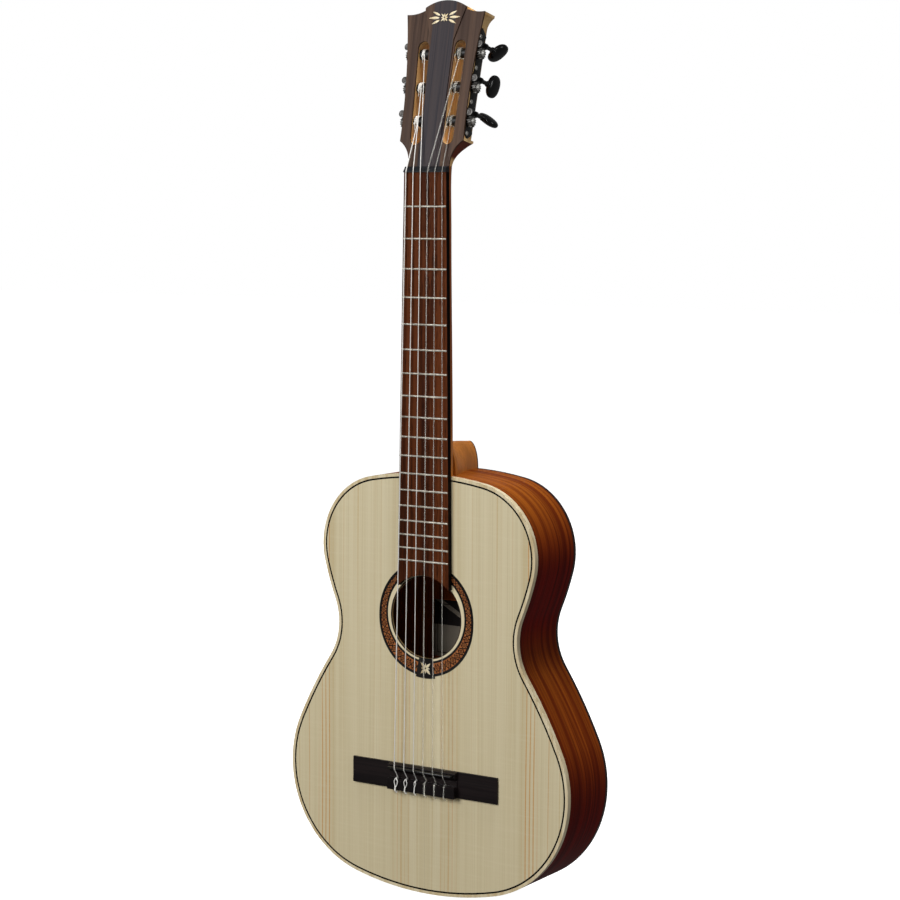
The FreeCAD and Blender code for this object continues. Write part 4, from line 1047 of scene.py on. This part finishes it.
def flat_leaf(bm, place, length, width):
    """A thin leaf lying in the place's XY plane, its stalk at the origin, pointing along Y."""
    edge = []
    for k in range(LEAF_SIDES + 1):
        t = k / LEAF_SIDES
        edge.append((width / 2 * math.sin(math.pi * t ** LEAF_POINT), length * t))
    outline = edge + [(-x, y) for x, y in reversed(edge[1:-1])]
    levels = ((0, 1), (LEAF_THICKNESS * 0.7, 1), (LEAF_THICKNESS, 0.9))
    skin(bm, [[place @ mm(x * s, y * s + (1 - s) * length / 2, z) for x, y in outline]
              for z, s in levels])


def make_flower(bm, place, long_petal, short_petal):
    """Eight petals about a point: long ones on the diagonals, short ones between."""
    for k in range(8):
        length, width = long_petal if k % 2 else short_petal
        turn = place @ spun(math.pi / 4 * k) @ shifted(0, PETAL_GAP, 0)
        flat_leaf(bm, turn, length, width)


def make_plaque_motif():
    """A plain flower on the dark plaque below the sound hole."""
    bm = bmesh.new()
    make_flower(bm, PLAN @ shifted(0, HOLE_LINE - MOTIF_DROP, 0), *MOTIF_PETALS)
    add_piece("plaque_motif", bm, "cream", "guitar", 50.0)


def make_crown_inlay():
    """A plain spray of leaves spread to both sides of a small flower."""
    bm = bmesh.new()
    middle = HEAD @ shifted(0, CROWN_LINE, 0)
    make_flower(bm, middle, *CROWN_PETALS)
    for hand in (-1, 1):
        for degrees, length, width in CROWN_LEAVES:
            turn = middle @ spun(math.radians(-hand * degrees))
            flat_leaf(bm, turn @ shifted(0, CROWN_REACH, 0), length, width)
    add_piece("crown_inlay", bm, "cream", "guitar", 50.0)


# ---- dressing the CAD nodes
MACHINES = ["%s_%d" % (name, number) for name, side in SIDES for number in (1, 2, 3)]
NODE_LOOKS = {
    "spruce": "soundboard",
    "rosette": "rosette",
    "plaque": "rosette_plaque",
    "cream": "top_binding",
    "purfling": "top_purfling",
    "dark_binding": "back_binding heel_cap",
    "back": "back",
    "neck": "neck",
    "head": "headstock",
    "headplate": "headplate",
    "board": "fingerboard",
    "bridge": "bridge",
    "saddle": "saddle",
    "nut": "nut",
    "fret": "frets",
    "brace": "harmonic_bars fan_braces bridge_patch back_braces",
    "block": "neck_block tail_block",
    "lining": "top_lining back_lining",
    "paper": "label",
    "bass_string": "string_e_low string_a string_d",
    "treble_string": "string_g string_b string_e_high",
    "worm": " ".join("worm_" + key for key in MACHINES),
    "roller": " ".join("roller_" + key for key in MACHINES),
    "gear": " ".join("gear_" + key for key in MACHINES),
}


def dress_nodes():
    """Put one material on every slot of each shown CAD node."""
    for look, names in NODE_LOOKS.items():
        for name in names.split():
            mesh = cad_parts[name].data
            mesh.materials.clear()
            mesh.materials.append(LOOKS[look])


def soften(names, width):
    """Round the hard edges of CAD nodes with modifiers, leaving their meshes alone."""
    for name in names.split():
        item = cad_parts[name]
        weld = item.modifiers.new("join_edges", "WELD")
        weld.merge_threshold = 0.000001
        bevel = item.modifiers.new("soft_edges", "BEVEL")
        bevel.width = width * MM
        bevel.segments = 2
        bevel.limit_method = "ANGLE"
        bevel.angle_limit = math.radians(35.0)
        bevel.harden_normals = True


dress_nodes()
soften("bridge saddle nut", 0.5)
for name, side in SIDES:
    make_side(name, side)
for name, side in SIDES:
    make_plate(name, side)
    for number, line in enumerate(MACHINE_LINES, start=1):
        key = "%s_%d" % (name, number)
        make_knob(key, side, line)
        make_worm_cap(key, side, line)
        make_gear_screw(key, side, line, 0.9 * number + side)
make_plate_screws()
for index in range(len(STRINGS)):
    make_winding(index)
    make_tie(index)
make_plaque_motif()
make_crown_inlay()

# ---- camera, floor and light
CAMERA_PLACE = (1.2132, -1.8730, 0.6527)
CAMERA_YAW = math.radians(32.813)
CAMERA_PITCH = math.radians(-5.535)
CAMERA_ROLL = math.radians(0.367)
LENS = 91.58
# lamps: name, place, aim, edge of the square, power, and whether it shows in gloss
LAMPS = (("top_light", (0.2, 0.0, 2.4), (0.0, 0.0, 0.5), 0.7, 44, False),
         ("front_light", (-0.7, -2.6, 1.5), (0, 0, 0.45), 1.4, 62, True),
         ("right_light", (2.6, -0.5, 1.0), (0, 0, 0.5), 1.0, 10, True),
         ("back_light", (-1.6, 2.0, 1.6), (0, 0, 0.45), 1.2, 34, False))
FILL = 0.12
FLOOR_SIZE = 30
FLOOR_LEVEL = -0.0005


def make_camera():
    """The camera the main picture is taken with."""
    data = bpy.data.cameras.new("camera")
    data.lens = LENS
    data.clip_start = 0.05
    camera = bpy.data.objects.new("camera", data)
    turn = (spun(CAMERA_YAW) @ Matrix.Rotation(math.pi / 2 + CAMERA_PITCH, 4, "X")
            @ spun(CAMERA_ROLL))
    camera.matrix_world = Matrix.Translation(CAMERA_PLACE) @ turn
    bpy.context.collection.objects.link(camera)
    bpy.context.scene.camera = camera


def area_light(name, place, aim, size, power, shine):
    """A square lamp turned to face its aim."""
    data = bpy.data.lights.new(name, "AREA")
    data.size = size
    data.energy = power
    lamp = bpy.data.objects.new(name, data)
    lamp.location = place
    lamp.visible_glossy = shine
    lamp.rotation_euler = (Vector(aim) - Vector(place)).to_track_quat("-Z", "Y").to_euler()
    bpy.context.collection.objects.link(lamp)


def make_world():
    """White to the eye but dim as a light."""
    world = bpy.data.worlds.new("studio")
    bpy.context.scene.world = world
    world.use_nodes = True
    nodes, links = world.node_tree.nodes, world.node_tree.links
    background = nodes["Background"]
    background.inputs["Color"].default_value = (1, 1, 1, 1)
    path = nodes.new("ShaderNodeLightPath")
    strength = nodes.new("ShaderNodeMapRange")
    strength.inputs["To Min"].default_value = FILL
    strength.inputs["To Max"].default_value = 1.0
    links.new(path.outputs["Is Camera Ray"], strength.inputs["Value"])
    links.new(strength.outputs["Result"], background.inputs["Strength"])


def make_floor():
    """A pale floor that shows a soft shadow and throws no light back."""
    bpy.ops.mesh.primitive_plane_add(size=FLOOR_SIZE, location=(0, 0, FLOOR_LEVEL))
    floor = bpy.context.object
    floor.name = "floor"
    s = Shader("floor_paint", rough=0.9, spec=0.1)
    s.set("Emission Color", (1.0, 1.0, 1.0))
    s.set("Emission Strength", 1.0)
    tone = s.mix(s.cloud((30, 30, 30), 2.0), (0.5, 0.5, 0.5), (0.48, 0.48, 0.48))
    floor.data.materials.append(s.paint(tone))
    floor.visible_diffuse = False
    floor.visible_glossy = False


def make_studio():
    """World, floor and lamps, with colours shown as they are."""
    make_world()
    make_floor()
    for lamp in LAMPS:
        area_light(*lamp)
    bpy.context.scene.view_settings.view_transform = "Standard"


make_camera()
make_studio()
